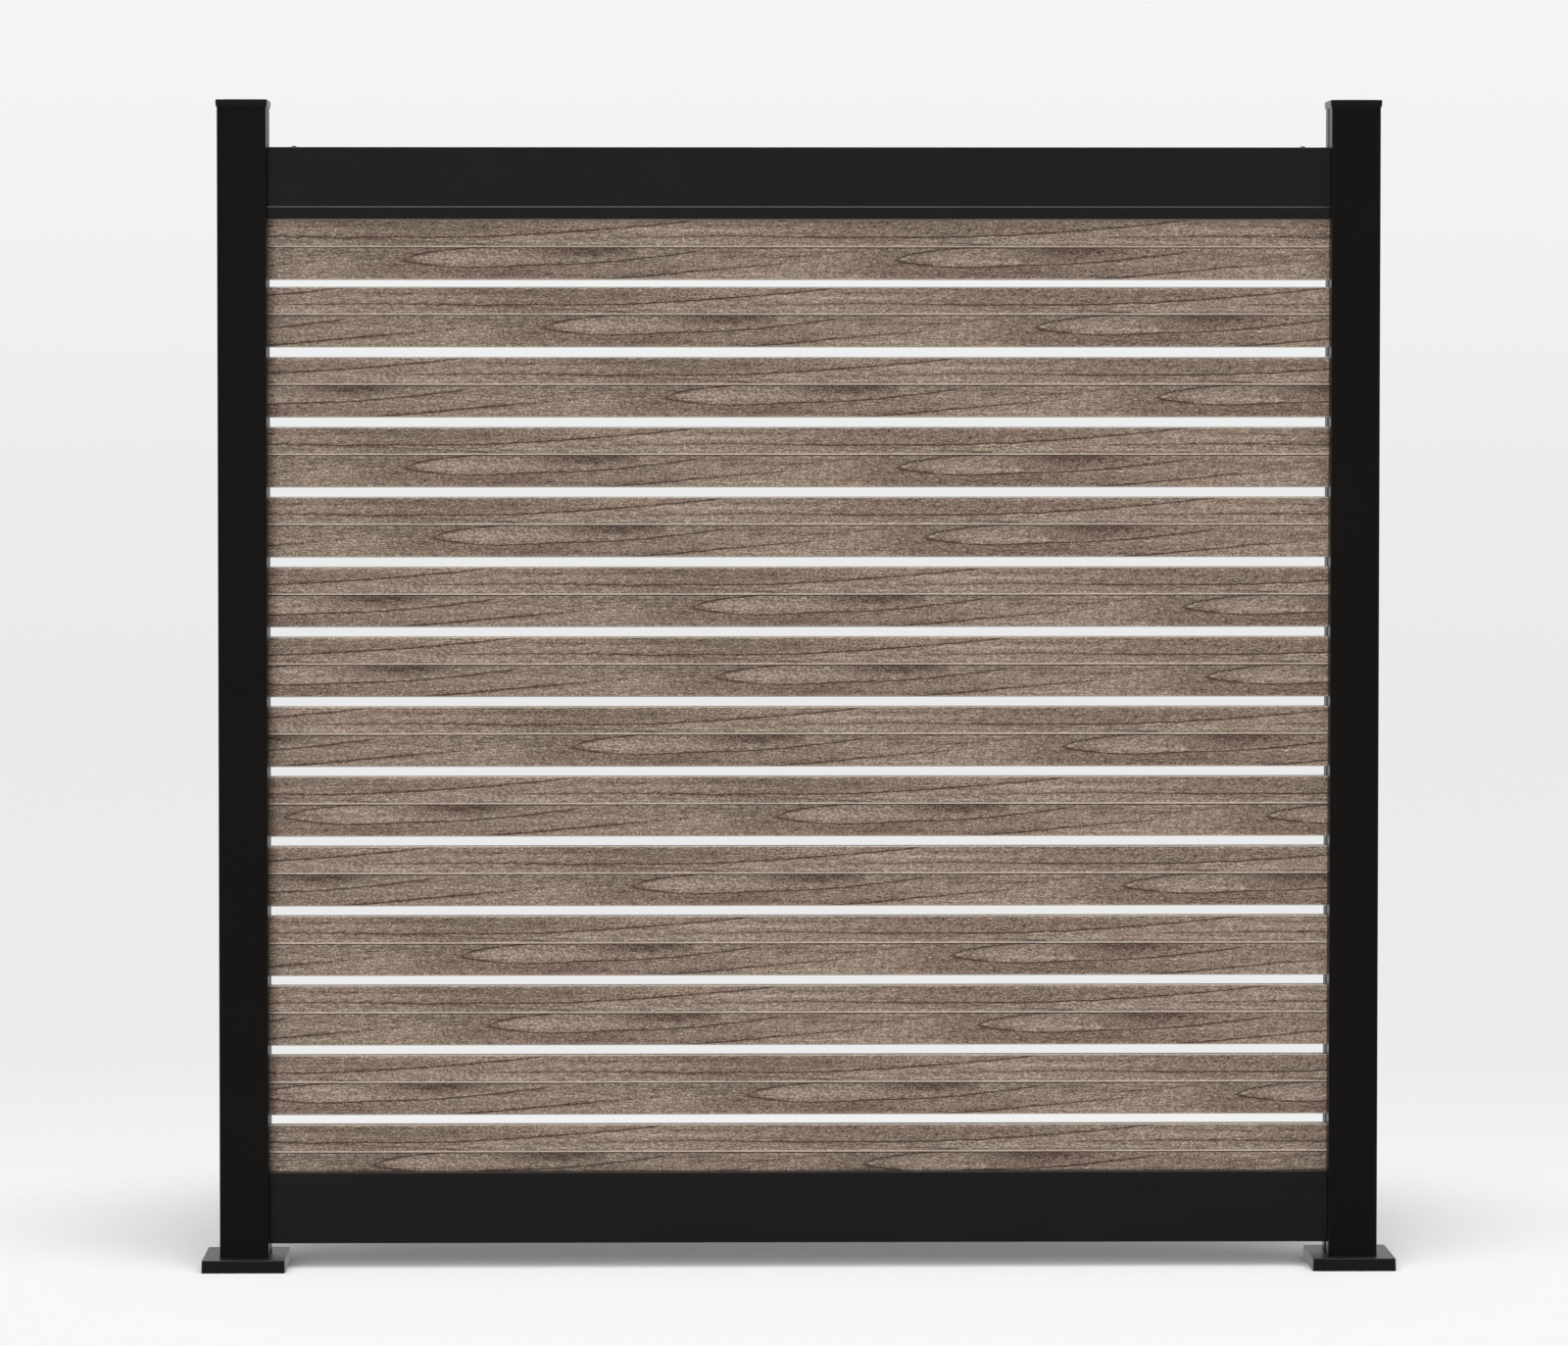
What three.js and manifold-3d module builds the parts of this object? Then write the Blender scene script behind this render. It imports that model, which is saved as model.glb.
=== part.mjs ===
// Garden privacy screen. Two slotted aluminium posts stand on bolt-down feet. A deep rail joins them at
// the top and at the bottom, and fourteen hollow wood-grain slats are stacked in the post slots with a
// spacer at each end between every two slats, which leaves the see-through gaps.
//
// Units are millimetres. X runs along the screen, the front faces -Y, Z is up and the ground is z = 0.
// The origin is on the ground in the middle of the screen.

import * as THREE from 'three';
import { mergeVertices } from 'three/addons/utils/BufferGeometryUtils.js';
import Module from 'manifold-3d';

// ---------------------------------------------------------------------------------------------
// Driving dimensions

// Screen
const CLEAR_WIDTH = 1656; // between the inner faces of the two posts
const SLAT_COUNT = 14;

// Slats: hollow extrusions with a raised drip line along both faces
const SLAT_HEIGHT = 94.4;
const SLAT_THICKNESS = 16;
const SLAT_WALL = 1.5;
const SLAT_EDGE_RADIUS = 2.4;
const SLAT_CELLS_ABOVE_LINE = 2;
const SLAT_CELLS_BELOW_LINE = 2;
const LINE_FROM_TOP = 43.4; // the raised line's crest, down from the slat's top edge
const LINE_PROUD = 0.9;
const LINE_SLOPE = 1.9; // height of the flank that faces up
const LINE_LEDGE = 1.1; // height of the flank that faces down
const SLAT_END_CLEARANCE = 2; // from a slat's end to the floor of the post slot
const SLOT_CLEARANCE = 0.4; // on each side of a slat's raised lines

// Spacers and slot infills share one clip section
const SPACER_HEIGHT = 14.8;
const TOP_SPACER_HEIGHT = 10.8; // the top pair is cut short to close the stack
const CLIP_CLEARANCE = 0.3;
const CLIP_FACE = 1.8;
const CLIP_LEG = 2;
const CLIP_LEG_INSET = 1; // from the clip's side in to its legs
const CLIP_FOOT = 2; // length of the flange at the end of each leg
const CLIP_EDGE_RADIUS = 0.7;

// Posts
const POST_SIDE = 76.2;
const POST_WALL = 2.4;
const POST_CORNER_RADIUS = 1.6;
const POST_SLOT_DEPTH = 20;
const POST_ABOVE_RAIL = 70.7; // post tube above the top rail
const PORT_RADIUS = 2.7; // screw ports in the post's corners
const PORT_WALL = 1.6;
const PORT_SINK = 0.5; // how far a port's ring sinks into the post's walls
const PORT_MOUTH = Math.PI / 2; // angle left open on the side of the post's middle

// Rails
const RAIL_DEPTH = 50.8;
const RAIL_HEIGHT = 111.1;
const RAIL_WALL = 2;
const RAIL_CORNER_RADIUS = 2.2;
const RAIL_SLOT_DEPTH = 21.5;
const RAIL_BAND_HEIGHT = 17.5; // proud band beside the slats
const RAIL_BAND_PROUD = 1.3;
const RAIL_LIP_RADIUS = 1;
const RAIL_END_CLEARANCE = 0.5;
const RAIL_ABOVE_COVER = 20; // from the foot covers up to the bottom rail
const RAIL_CLOSING_GAP = 0.6; // between the top slat and the top rail

// Rail brackets and screws
const BRACKET_THICKNESS = 3;
const BRACKET_REACH = 56; // from the post into the rail
const BRACKET_CLEARANCE = 0.3;
const BRACKET_BEND = 1.5; // inner radius of the bends
const BRACKET_SCREW_SPACING = 56; // up the bracket
const RAIL_SCREW_FROM_POST = 41;
const SCREW_SHANK_RADIUS = 2.1;
const SCREW_HEAD_RADIUS = 4;
const SCREW_HEAD_HEIGHT = 2.4;
const SCREW_HEAD_RIM = 0.8; // straight part of the head
const SCREW_HEAD_SHOULDER = 3.2; // radius at which the head starts to flatten
const SCREW_LENGTH = 14;
const SCREW_SOCKET_RADIUS = 1.7;
const SCREW_SOCKET_DEPTH = 1.3;
const SCREW_CLEARANCE = 0.3; // round a shank

// Feet
const PLATE_SIDE = 114.3;
const PLATE_THICKNESS = 6.35;
const PLATE_CORNER_RADIUS = 6;
const ANCHOR_HOLE_RADIUS = 5.5;
const ANCHOR_HOLE_EDGE = 11.2; // from the plate's edge to a hole's centre
const FOOT_SCREW_LENGTH = 24; // from the plate up into the post's ports
const COVER_WALL = 2;
const COVER_CLEARANCE = 5.85; // round the plate
const COVER_HEADROOM = 11.65; // for the anchor bolts
const COVER_FIT = 0.4; // round the post
const COVER_CORNER_RADIUS = 3;
const COVER_EDGE = 1.6; // rounded top edge

// Caps
const CAP_WALL = 1.8;
const CAP_FIT = 0.2; // round the post
const CAP_SKIRT = 9.5;
const CAP_TAPER = 1.4; // how far the skirt draws in at its lower edge
const CAP_TAPER_HEIGHT = 4;
const CAP_PLATE = 2.5;
const CAP_EDGE = 1;
const CAP_CROWN = 1.5;
const CAP_TAB_LENGTH = 14;
const CAP_TAB_WIDTH = 22;
const CAP_TAB_THICKNESS = 2;
const CAP_TAB_FIT = 0.3;

// Facets
const CORNER_STEPS = 2; // an arc in a section has twice as many sides
const PORT_STEPS = 3;
const HOLE_SIDES = 12;
const HEAD_SIDES = 16;
const HIDDEN_SIDES = 8;
const CROWN_STEPS = 5;

// ---------------------------------------------------------------------------------------------
// Derived sizes

const slotWidth = SLAT_THICKNESS + 2 * (LINE_PROUD + SLOT_CLEARANCE);
const postHalf = POST_SIDE / 2;
const postInner = postHalf - POST_WALL;
const slotFloor = postHalf - POST_SLOT_DEPTH; // from the post's middle
const postCentre = CLEAR_WIDTH / 2 + postHalf;
const portCentre = postInner + PORT_SINK - PORT_RADIUS - PORT_WALL;
const slatLength = CLEAR_WIDTH + 2 * (POST_SLOT_DEPTH - SLAT_END_CLEARANCE);
const railLength = CLEAR_WIDTH - 2 * RAIL_END_CLEARANCE;

const coverSide = PLATE_SIDE + 2 * (COVER_CLEARANCE + COVER_WALL);
const coverHeight = PLATE_THICKNESS + COVER_HEADROOM + COVER_WALL;
const bottomRailBase = coverHeight + RAIL_ABOVE_COVER;
const stackBase = bottomRailBase + RAIL_HEIGHT - RAIL_SLOT_DEPTH;
const pitch = SLAT_HEIGHT + SPACER_HEIGHT;
const topSlatBase = stackBase + (SLAT_COUNT - 2) * pitch + SLAT_HEIGHT + TOP_SPACER_HEIGHT;
const stackTop = topSlatBase + SLAT_HEIGHT;
const topRailTop = stackTop + RAIL_CLOSING_GAP + RAIL_HEIGHT;
const postTop = topRailTop + POST_ABOVE_RAIL;

const chamberWidth = RAIL_DEPTH - 2 * RAIL_WALL;
const chamberHeight = RAIL_HEIGHT - RAIL_SLOT_DEPTH - 2 * RAIL_WALL;
const bracketWidth = chamberWidth - 2 * BRACKET_CLEARANCE;
const bracketHeight = chamberHeight - 2 * BRACKET_CLEARANCE;
const slotWallOuter = slotWidth / 2 + POST_WALL;
const bracketScrewOffset = (slotWallOuter + bracketWidth / 2) / 2;
const bottomBracketMiddle = bottomRailBase + RAIL_WALL + chamberHeight / 2;
const topBracketMiddle = topRailTop - RAIL_WALL - chamberHeight / 2;

// ---------------------------------------------------------------------------------------------
// Materials

const blackMetal = new THREE.MeshStandardMaterial({ color: '#1a1918', roughness: 0.45, metalness: 0.2 });
const railMetal = new THREE.MeshStandardMaterial({ color: '#212020', roughness: 0.42, metalness: 0.2 });
const woodGrain = new THREE.MeshStandardMaterial({ color: '#847468', roughness: 0.6, metalness: 0 });
const blackPlastic = new THREE.MeshStandardMaterial({ color: '#1f1e1d', roughness: 0.5, metalness: 0 });
const coverBlack = new THREE.MeshStandardMaterial({ color: '#232223', roughness: 0.35, metalness: 0 });
const zincSteel = new THREE.MeshStandardMaterial({ color: '#8b8d8f', roughness: 0.4, metalness: 0.9 });
const blackSteel = new THREE.MeshStandardMaterial({ color: '#2a2929', roughness: 0.4, metalness: 0.6 });

// ---------------------------------------------------------------------------------------------
// Geometry helpers

const wasm = await Module();
wasm.setup();

function toSolid(geometry) {
  const bare = geometry.clone();
  bare.deleteAttribute('normal');
  bare.deleteAttribute('uv');
  const merged = mergeVertices(bare);
  return new wasm.Manifold(new wasm.Mesh({
    numProp: 3,
    vertProperties: merged.attributes.position.array,
    triVerts: Uint32Array.from(merged.index.array),
  }));
}

function toGeometry(solid) {
  const { vertProperties, triVerts } = solid.getMesh();
  const geometry = new THREE.BufferGeometry();
  geometry.setAttribute('position', new THREE.BufferAttribute(vertProperties, 3));
  geometry.setIndex(new THREE.BufferAttribute(triVerts, 1));
  geometry.computeVertexNormals();
  return geometry;
}

// Joins the added geometries to the body, then cuts the removed ones out of it.
function combine(body, added, removed) {
  const joined = added.reduce((solid, piece) => solid.add(toSolid(piece)), toSolid(body));
  return toGeometry(removed.reduce((solid, piece) => solid.subtract(toSolid(piece)), joined));
}

function extrude(shape, length, steps = CORNER_STEPS) {
  return new THREE.ExtrudeGeometry(shape, { depth: length, bevelEnabled: false, curveSegments: steps });
}

// Turns an extrusion so that its length runs along X, its section's first axis along Y and the other up.
function lengthwise(geometry) {
  const alongX = new THREE.Matrix4().makeBasis(
    new THREE.Vector3(0, 1, 0),
    new THREE.Vector3(0, 0, 1),
    new THREE.Vector3(1, 0, 0),
  );
  return geometry.applyMatrix4(alongX);
}

// Turns an upright extrusion so that its section's second axis runs along X.
function facingX(geometry) {
  const quarterTurn = new THREE.Matrix4().makeBasis(
    new THREE.Vector3(0, -1, 0),
    new THREE.Vector3(1, 0, 0),
    new THREE.Vector3(0, 0, 1),
  );
  return geometry.applyMatrix4(quarterTurn);
}

// A closed section from its right half, drawn upwards or downwards without touching the mirror line.
function mirroredShape(half) {
  const points = half.getPoints(CORNER_STEPS);
  const mirrored = points.map((point) => new THREE.Vector2(-point.x, point.y)).reverse();
  return new THREE.Shape([...points, ...mirrored]);
}

function rectanglePath(left, bottom, right, top) {
  return new THREE.Path([
    new THREE.Vector2(left, bottom),
    new THREE.Vector2(right, bottom),
    new THREE.Vector2(right, top),
    new THREE.Vector2(left, top),
  ]);
}

function roundedSquare(side, radius) {
  const centre = side / 2 - radius;
  const shape = new THREE.Shape();
  shape.moveTo(side / 2, -centre);
  shape.absarc(centre, centre, radius, 0, Math.PI / 2);
  shape.absarc(-centre, centre, radius, Math.PI / 2, Math.PI);
  shape.absarc(-centre, -centre, radius, Math.PI, 1.5 * Math.PI);
  shape.absarc(centre, -centre, radius, 1.5 * Math.PI, 2 * Math.PI);
  return shape;
}

// A closed solid through rounded squares of { side, radius, z }, listed from the lowest to the highest.
function loftSquares(levels) {
  const rings = levels.map(({ side, radius, z }) => {
    const ring = roundedSquare(side, radius).getPoints(CORNER_STEPS).slice(0, -1);
    return ring.map((point) => new THREE.Vector3(point.x, point.y, z));
  });
  const count = rings[0].length;
  const vertices = rings.flat();
  const foot = vertices.push(new THREE.Vector3(0, 0, levels[0].z)) - 1;
  const crown = vertices.push(new THREE.Vector3(0, 0, levels.at(-1).z)) - 1;
  const lastRing = (rings.length - 1) * count;
  const faces = [];
  for (let k = 0; k < count; k += 1) {
    const next = (k + 1) % count;
    faces.push(foot, next, k);
    faces.push(crown, lastRing + k, lastRing + next);
    for (let base = 0; base < lastRing; base += count) {
      faces.push(base + k, base + next, base + count + next);
      faces.push(base + k, base + count + next, base + count + k);
    }
  }
  const geometry = new THREE.BufferGeometry().setFromPoints(vertices);
  geometry.setIndex(faces);
  geometry.computeVertexNormals();
  return geometry;
}

// A cylinder that stands on z = 0.
function rod(radius, length, sides) {
  const geometry = new THREE.CylinderGeometry(radius, radius, length, sides);
  return geometry.rotateX(Math.PI / 2).translate(0, 0, length / 2);
}

function box(width, depth, height) {
  return new THREE.BoxGeometry(width, depth, height);
}

function mesh(name, geometry, material) {
  const part = new THREE.Mesh(geometry, material);
  part.name = name;
  return part;
}

// ---------------------------------------------------------------------------------------------
// Sections

// A box extrusion with a walled slot in its top side and one hollow that reaches up on both sides of it.
// A band beside the slot's mouth can stand proud of the sides.
function slottedSection({ width, height, wall, radius, slotDepth, lipRadius, bandHeight, bandProud }) {
  const side = width / 2;
  const bandSide = side + bandProud;
  const slotSide = slotWidth / 2;
  const floor = height - slotDepth;
  const outline = new THREE.Path();
  outline.moveTo(side - radius, 0);
  outline.absarc(side - radius, radius, radius, -Math.PI / 2, 0);
  if (bandProud > 0) {
    outline.lineTo(side, height - bandHeight - bandProud);
    outline.lineTo(bandSide, height - bandHeight);
  }
  outline.absarc(bandSide - lipRadius, height - lipRadius, lipRadius, 0, Math.PI / 2);
  outline.lineTo(slotSide, height);
  outline.lineTo(slotSide, floor);
  const section = mirroredShape(outline);

  const inner = side - wall;
  const shoulder = slotSide + wall;
  const cavity = new THREE.Path();
  cavity.moveTo(inner, wall);
  cavity.lineTo(inner, height - wall);
  cavity.lineTo(shoulder, height - wall);
  cavity.lineTo(shoulder, floor - wall);
  section.holes.push(mirroredShape(cavity));
  return section;
}

// A hollow slat, standing on z = 0 in its section, with a web behind its raised line.
function slatSection() {
  const side = SLAT_THICKNESS / 2;
  const crest = SLAT_HEIGHT - LINE_FROM_TOP;
  const outline = new THREE.Path();
  outline.moveTo(side - SLAT_EDGE_RADIUS, 0);
  outline.absarc(side - SLAT_EDGE_RADIUS, SLAT_EDGE_RADIUS, SLAT_EDGE_RADIUS, -Math.PI / 2, 0);
  outline.lineTo(side, crest - LINE_LEDGE);
  outline.lineTo(side + LINE_PROUD, crest);
  outline.lineTo(side, crest + LINE_SLOPE);
  outline.absarc(side - SLAT_EDGE_RADIUS, SLAT_HEIGHT - SLAT_EDGE_RADIUS, SLAT_EDGE_RADIUS, 0, Math.PI / 2);
  const section = mirroredShape(outline);
  const inner = side - SLAT_WALL;
  const addCells = (count, low, high) => {
    const cellPitch = (high - low) / count;
    for (let k = 0; k < count; k += 1) {
      const base = low + k * cellPitch;
      section.holes.push(
        rectanglePath(-inner, base + SLAT_WALL / 2, inner, base + cellPitch - SLAT_WALL / 2),
      );
    }
  };
  addCells(SLAT_CELLS_BELOW_LINE, SLAT_WALL / 2, crest);
  addCells(SLAT_CELLS_ABOVE_LINE, crest, SLAT_HEIGHT - SLAT_WALL / 2);
  return section;
}

// The clip that fills the post slot: a face flush with the post, two legs and a foot on each leg.
function clipSection() {
  const side = slotWidth / 2 - CLIP_CLEARANCE;
  const legOuter = side - CLIP_LEG_INSET;
  const legInner = legOuter - CLIP_LEG;
  const back = slotFloor + CLIP_CLEARANCE;
  const outline = new THREE.Path();
  outline.moveTo(legInner, postHalf - CLIP_FACE);
  outline.lineTo(legInner, back);
  outline.lineTo(side, back);
  outline.lineTo(side, back + CLIP_FOOT);
  outline.lineTo(legOuter, back + CLIP_FOOT);
  outline.lineTo(legOuter, postHalf - CLIP_FACE);
  outline.lineTo(side, postHalf - CLIP_FACE);
  outline.absarc(side - CLIP_EDGE_RADIUS, postHalf - CLIP_EDGE_RADIUS, CLIP_EDGE_RADIUS, 0, Math.PI / 2);
  return mirroredShape(outline);
}

// A screw port: a ring along a post's corner, open towards the middle of the post.
function portSection(cornerAngle) {
  const start = cornerAngle + Math.PI + PORT_MOUTH / 2;
  const end = cornerAngle + 3 * Math.PI - PORT_MOUTH / 2;
  const ring = new THREE.Shape();
  ring.absarc(0, 0, PORT_RADIUS + PORT_WALL, start, end);
  ring.absarc(0, 0, PORT_RADIUS, end, start, true);
  return ring;
}

// ---------------------------------------------------------------------------------------------
// Sub-parts. Those of a post are drawn about the post's middle, with its slot facing +X.

const postCorners = [[1, 1], [-1, 1], [-1, -1], [1, -1]];

function bracketScrewPlaces() {
  const levels = [bottomBracketMiddle, topBracketMiddle];
  const rise = BRACKET_SCREW_SPACING / 2;
  return levels.flatMap((middle) => [-1, 1].flatMap((up) => [-1, 1].map((across) => (
    { y: across * bracketScrewOffset, z: middle + up * rise }
  ))));
}

function postGeometry() {
  const length = postTop - PLATE_THICKNESS;
  const section = slottedSection({
    width: POST_SIDE,
    height: POST_SIDE,
    wall: POST_WALL,
    radius: POST_CORNER_RADIUS,
    slotDepth: POST_SLOT_DEPTH,
    lipRadius: POST_CORNER_RADIUS,
    bandHeight: 0,
    bandProud: 0,
  });
  const tube = facingX(extrude(section, length).translate(0, -postHalf, 0));
  const ports = postCorners.map(([x, y]) => (
    extrude(portSection(Math.atan2(y, x)), length, PORT_STEPS).translate(x * portCentre, y * portCentre, 0)
  ));
  const holes = bracketScrewPlaces().map(({ y, z }) => (
    rod(SCREW_SHANK_RADIUS + SCREW_CLEARANCE, 3 * POST_WALL, HIDDEN_SIDES)
      .rotateY(Math.PI / 2)
      .translate(postHalf - 2 * POST_WALL, y, z - PLATE_THICKNESS)
  ));
  return combine(tube, ports, holes);
}

function capGeometry() {
  const side = POST_SIDE + 2 * (CAP_FIT + CAP_WALL);
  const radius = POST_CORNER_RADIUS + CAP_FIT + CAP_WALL;
  const levels = [
    { side: side - 2 * CAP_TAPER, radius: radius - CAP_TAPER, z: -CAP_SKIRT },
    { side, radius, z: CAP_TAPER_HEIGHT - CAP_SKIRT },
    { side, radius, z: CAP_PLATE - CAP_EDGE },
    { side: side - CAP_EDGE, radius: radius - CAP_EDGE / 4, z: CAP_PLATE - CAP_EDGE / 4 },
  ];
  const crownSide = side - 3 * CAP_EDGE;
  for (let k = 0; k < CROWN_STEPS; k += 1) {
    const share = 1 - k / CROWN_STEPS;
    const rise = CAP_CROWN * (1 - share * share) / (1 - 1 / CROWN_STEPS ** 2);
    levels.push({ side: crownSide * share, radius: (radius - CAP_EDGE / 2) * share, z: CAP_PLATE + rise });
  }
  const socket = extrude(
    roundedSquare(POST_SIDE + 2 * CAP_FIT, POST_CORNER_RADIUS + CAP_FIT),
    2 * CAP_SKIRT,
  ).translate(0, 0, -2 * CAP_SKIRT);
  const tabMiddle = postInner - CAP_TAB_FIT - CAP_TAB_THICKNESS / 2;
  const tab = box(CAP_TAB_THICKNESS, CAP_TAB_WIDTH, CAP_TAB_LENGTH + CAP_PLATE / 2);
  tab.translate(-tabMiddle, 0, (CAP_PLATE / 2 - CAP_TAB_LENGTH) / 2);
  const sideTab = tab.clone().rotateZ(Math.PI / 2);
  const tabs = [tab, sideTab, sideTab.clone().rotateZ(Math.PI)];
  const shell = combine(loftSquares(levels), [], [socket]);
  return combine(shell, tabs, []);
}

function basePlateGeometry() {
  const shape = roundedSquare(PLATE_SIDE, PLATE_CORNER_RADIUS);
  const anchor = PLATE_SIDE / 2 - ANCHOR_HOLE_EDGE;
  for (const [x, y] of postCorners) {
    const hole = new THREE.Path().absarc(x * anchor, y * anchor, ANCHOR_HOLE_RADIUS, 0, 2 * Math.PI);
    shape.holes.push(new THREE.Path(hole.getPoints(HOLE_SIDES / 2).slice(1)));
  }
  const plate = extrude(shape, PLATE_THICKNESS);
  const shank = rod(PORT_RADIUS - SCREW_CLEARANCE, FOOT_SCREW_LENGTH, HIDDEN_SIDES);
  const socket = rod(SCREW_SOCKET_RADIUS, 2 * SCREW_SOCKET_DEPTH, 6);
  const atPorts = (piece, z) => postCorners.map(([x, y]) => (
    piece.clone().translate(x * portCentre, y * portCentre, z)
  ));
  const shanks = atPorts(shank, PLATE_THICKNESS - SCREW_SOCKET_DEPTH);
  const sockets = atPorts(socket, -SCREW_SOCKET_DEPTH);
  return combine(plate, shanks, sockets);
}

function baseCoverGeometry() {
  const radius = COVER_CORNER_RADIUS;
  const outside = loftSquares([
    { side: coverSide, radius, z: 0 },
    { side: coverSide, radius, z: coverHeight - COVER_EDGE },
    { side: coverSide - COVER_EDGE, radius: radius - COVER_EDGE / 4, z: coverHeight - COVER_EDGE / 4 },
    { side: coverSide - 3 * COVER_EDGE, radius: radius - COVER_EDGE / 2, z: coverHeight },
  ]);
  const inside = extrude(
    roundedSquare(coverSide - 2 * COVER_WALL, radius - COVER_WALL / 2),
    2 * (coverHeight - COVER_WALL),
  ).translate(0, 0, COVER_WALL - coverHeight);
  const collar = extrude(
    roundedSquare(POST_SIDE + 2 * COVER_FIT, POST_CORNER_RADIUS + COVER_FIT),
    2 * coverHeight,
  );
  return combine(outside, [], [inside, collar]);
}

function clipGeometry(height) {
  return facingX(extrude(clipSection(), height));
}

// A pan head that sits on z = 0 with its shank pointing down.
function plainScrew(sides) {
  const profile = new THREE.Path();
  profile.moveTo(0, -SCREW_LENGTH);
  profile.lineTo(SCREW_SHANK_RADIUS, -SCREW_LENGTH);
  profile.lineTo(SCREW_SHANK_RADIUS, 0);
  profile.lineTo(SCREW_HEAD_RADIUS, 0);
  profile.lineTo(SCREW_HEAD_RADIUS, SCREW_HEAD_RIM);
  profile.quadraticCurveTo(SCREW_HEAD_SHOULDER, SCREW_HEAD_HEIGHT, 0, SCREW_HEAD_HEIGHT);
  return new THREE.LatheGeometry(profile.getPoints(sides / 4), sides).rotateX(Math.PI / 2);
}

// A rail screw, which shows its hexagon socket.
function railScrewGeometry() {
  const socket = rod(SCREW_SOCKET_RADIUS, SCREW_SOCKET_DEPTH + SCREW_HEAD_HEIGHT, 6);
  socket.translate(0, 0, SCREW_HEAD_HEIGHT - SCREW_SOCKET_DEPTH);
  return combine(plainScrew(HEAD_SIDES), [], [socket]);
}

// A bent channel inside a rail's end, about its own middle, with the rail's screw in its lower flange.
// The four screws that hold it to the post are part of it.
function bracketGeometry() {
  const outer = bracketHeight / 2;
  const bend = BRACKET_BEND + BRACKET_THICKNESS;
  const half = new THREE.Path();
  half.absarc(outer - bend, bend, BRACKET_BEND, -Math.PI / 2, 0);
  half.lineTo(outer - BRACKET_THICKNESS, BRACKET_REACH);
  half.lineTo(outer, BRACKET_REACH);
  half.absarc(outer - bend, bend, bend, 0, -Math.PI / 2, true);
  const upright = extrude(mirroredShape(half), bracketWidth);
  const channel = upright.translate(0, 0, -bracketWidth / 2).applyMatrix4(
    new THREE.Matrix4().makeBasis(
      new THREE.Vector3(0, 0, 1),
      new THREE.Vector3(1, 0, 0),
      new THREE.Vector3(0, 1, 0),
    ),
  );
  const screw = plainScrew(HIDDEN_SIDES).rotateY(Math.PI / 2);
  const screws = [-1, 1].flatMap((up) => [-1, 1].map((across) => screw.clone().translate(
    BRACKET_THICKNESS,
    across * bracketScrewOffset,
    up * BRACKET_SCREW_SPACING / 2,
  )));
  const hole = rod(SCREW_SHANK_RADIUS + SCREW_CLEARANCE, 3 * BRACKET_THICKNESS, HOLE_SIDES);
  hole.translate(RAIL_SCREW_FROM_POST, 0, -outer - BRACKET_THICKNESS);
  return combine(channel, screws, [hole]);
}

// A rail with its slot facing up and a screw hole in its underside near each end.
function railGeometry() {
  const section = slottedSection({
    width: RAIL_DEPTH,
    height: RAIL_HEIGHT,
    wall: RAIL_WALL,
    radius: RAIL_CORNER_RADIUS,
    slotDepth: RAIL_SLOT_DEPTH,
    lipRadius: RAIL_LIP_RADIUS,
    bandHeight: RAIL_BAND_HEIGHT,
    bandProud: RAIL_BAND_PROUD,
  });
  const bar = lengthwise(extrude(section, railLength)).translate(-railLength / 2, 0, 0);
  const screwPlace = CLEAR_WIDTH / 2 - RAIL_SCREW_FROM_POST;
  const holes = [-screwPlace, screwPlace].map((x) => (
    rod(SCREW_SHANK_RADIUS + SCREW_CLEARANCE, 3 * RAIL_WALL, HOLE_SIDES).translate(x, 0, -RAIL_WALL)
  ));
  return combine(bar, [], holes);
}

function slatGeometry() {
  return lengthwise(extrude(slatSection(), slatLength)).translate(-slatLength / 2, 0, 0);
}

// ---------------------------------------------------------------------------------------------
// Assembly

const twoDigits = (number) => String(number).padStart(2, '0');

function slatBase(number) {
  return number === 1 ? topSlatBase : stackBase + (SLAT_COUNT - number) * pitch;
}

// Everything that belongs to one post, about the post's middle with its slot facing +X.
function postGroup(side) {
  const group = new THREE.Group();
  const place = (part, x, z) => {
    part.position.set(x, 0, z);
    group.add(part);
    return part;
  };
  place(mesh(`post_${side}`, postGeometry(), blackMetal), 0, PLATE_THICKNESS);
  place(mesh(`post_cap_${side}`, capGeometry(), blackPlastic), 0, postTop);
  place(mesh(`base_plate_${side}`, basePlateGeometry(), zincSteel), 0, 0);
  place(mesh(`base_cover_${side}`, baseCoverGeometry(), coverBlack), 0, 0);
  place(mesh(`slot_infill_${side}`, clipGeometry(postTop - stackTop), blackPlastic), 0, stackTop);

  for (let number = 1; number < SLAT_COUNT; number += 1) {
    const height = number === 1 ? TOP_SPACER_HEIGHT : SPACER_HEIGHT;
    const spacer = mesh(`spacer_${side}_${twoDigits(number)}`, clipGeometry(height), blackPlastic);
    place(spacer, 0, slatBase(number + 1) + SLAT_HEIGHT);
  }

  place(mesh(`rail_bracket_bottom_${side}`, bracketGeometry(), zincSteel), postHalf, bottomBracketMiddle);
  const topBracket = mesh(`rail_bracket_top_${side}`, bracketGeometry(), zincSteel);
  place(topBracket, postHalf, topBracketMiddle).rotation.x = Math.PI;

  const screwPlace = postHalf + RAIL_SCREW_FROM_POST;
  place(mesh(`rail_screw_top_${side}`, railScrewGeometry(), blackSteel), screwPlace, topRailTop);
  const bottomScrew = mesh(`rail_screw_bottom_${side}`, railScrewGeometry(), blackSteel);
  place(bottomScrew, screwPlace, bottomRailBase).rotation.x = Math.PI;
  return group;
}

const screen = new THREE.Group();

const leftPost = postGroup('left');
leftPost.position.x = -postCentre;
screen.add(leftPost);

const rightPost = postGroup('right');
rightPost.position.x = postCentre;
rightPost.rotation.z = Math.PI;
screen.add(rightPost);

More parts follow.
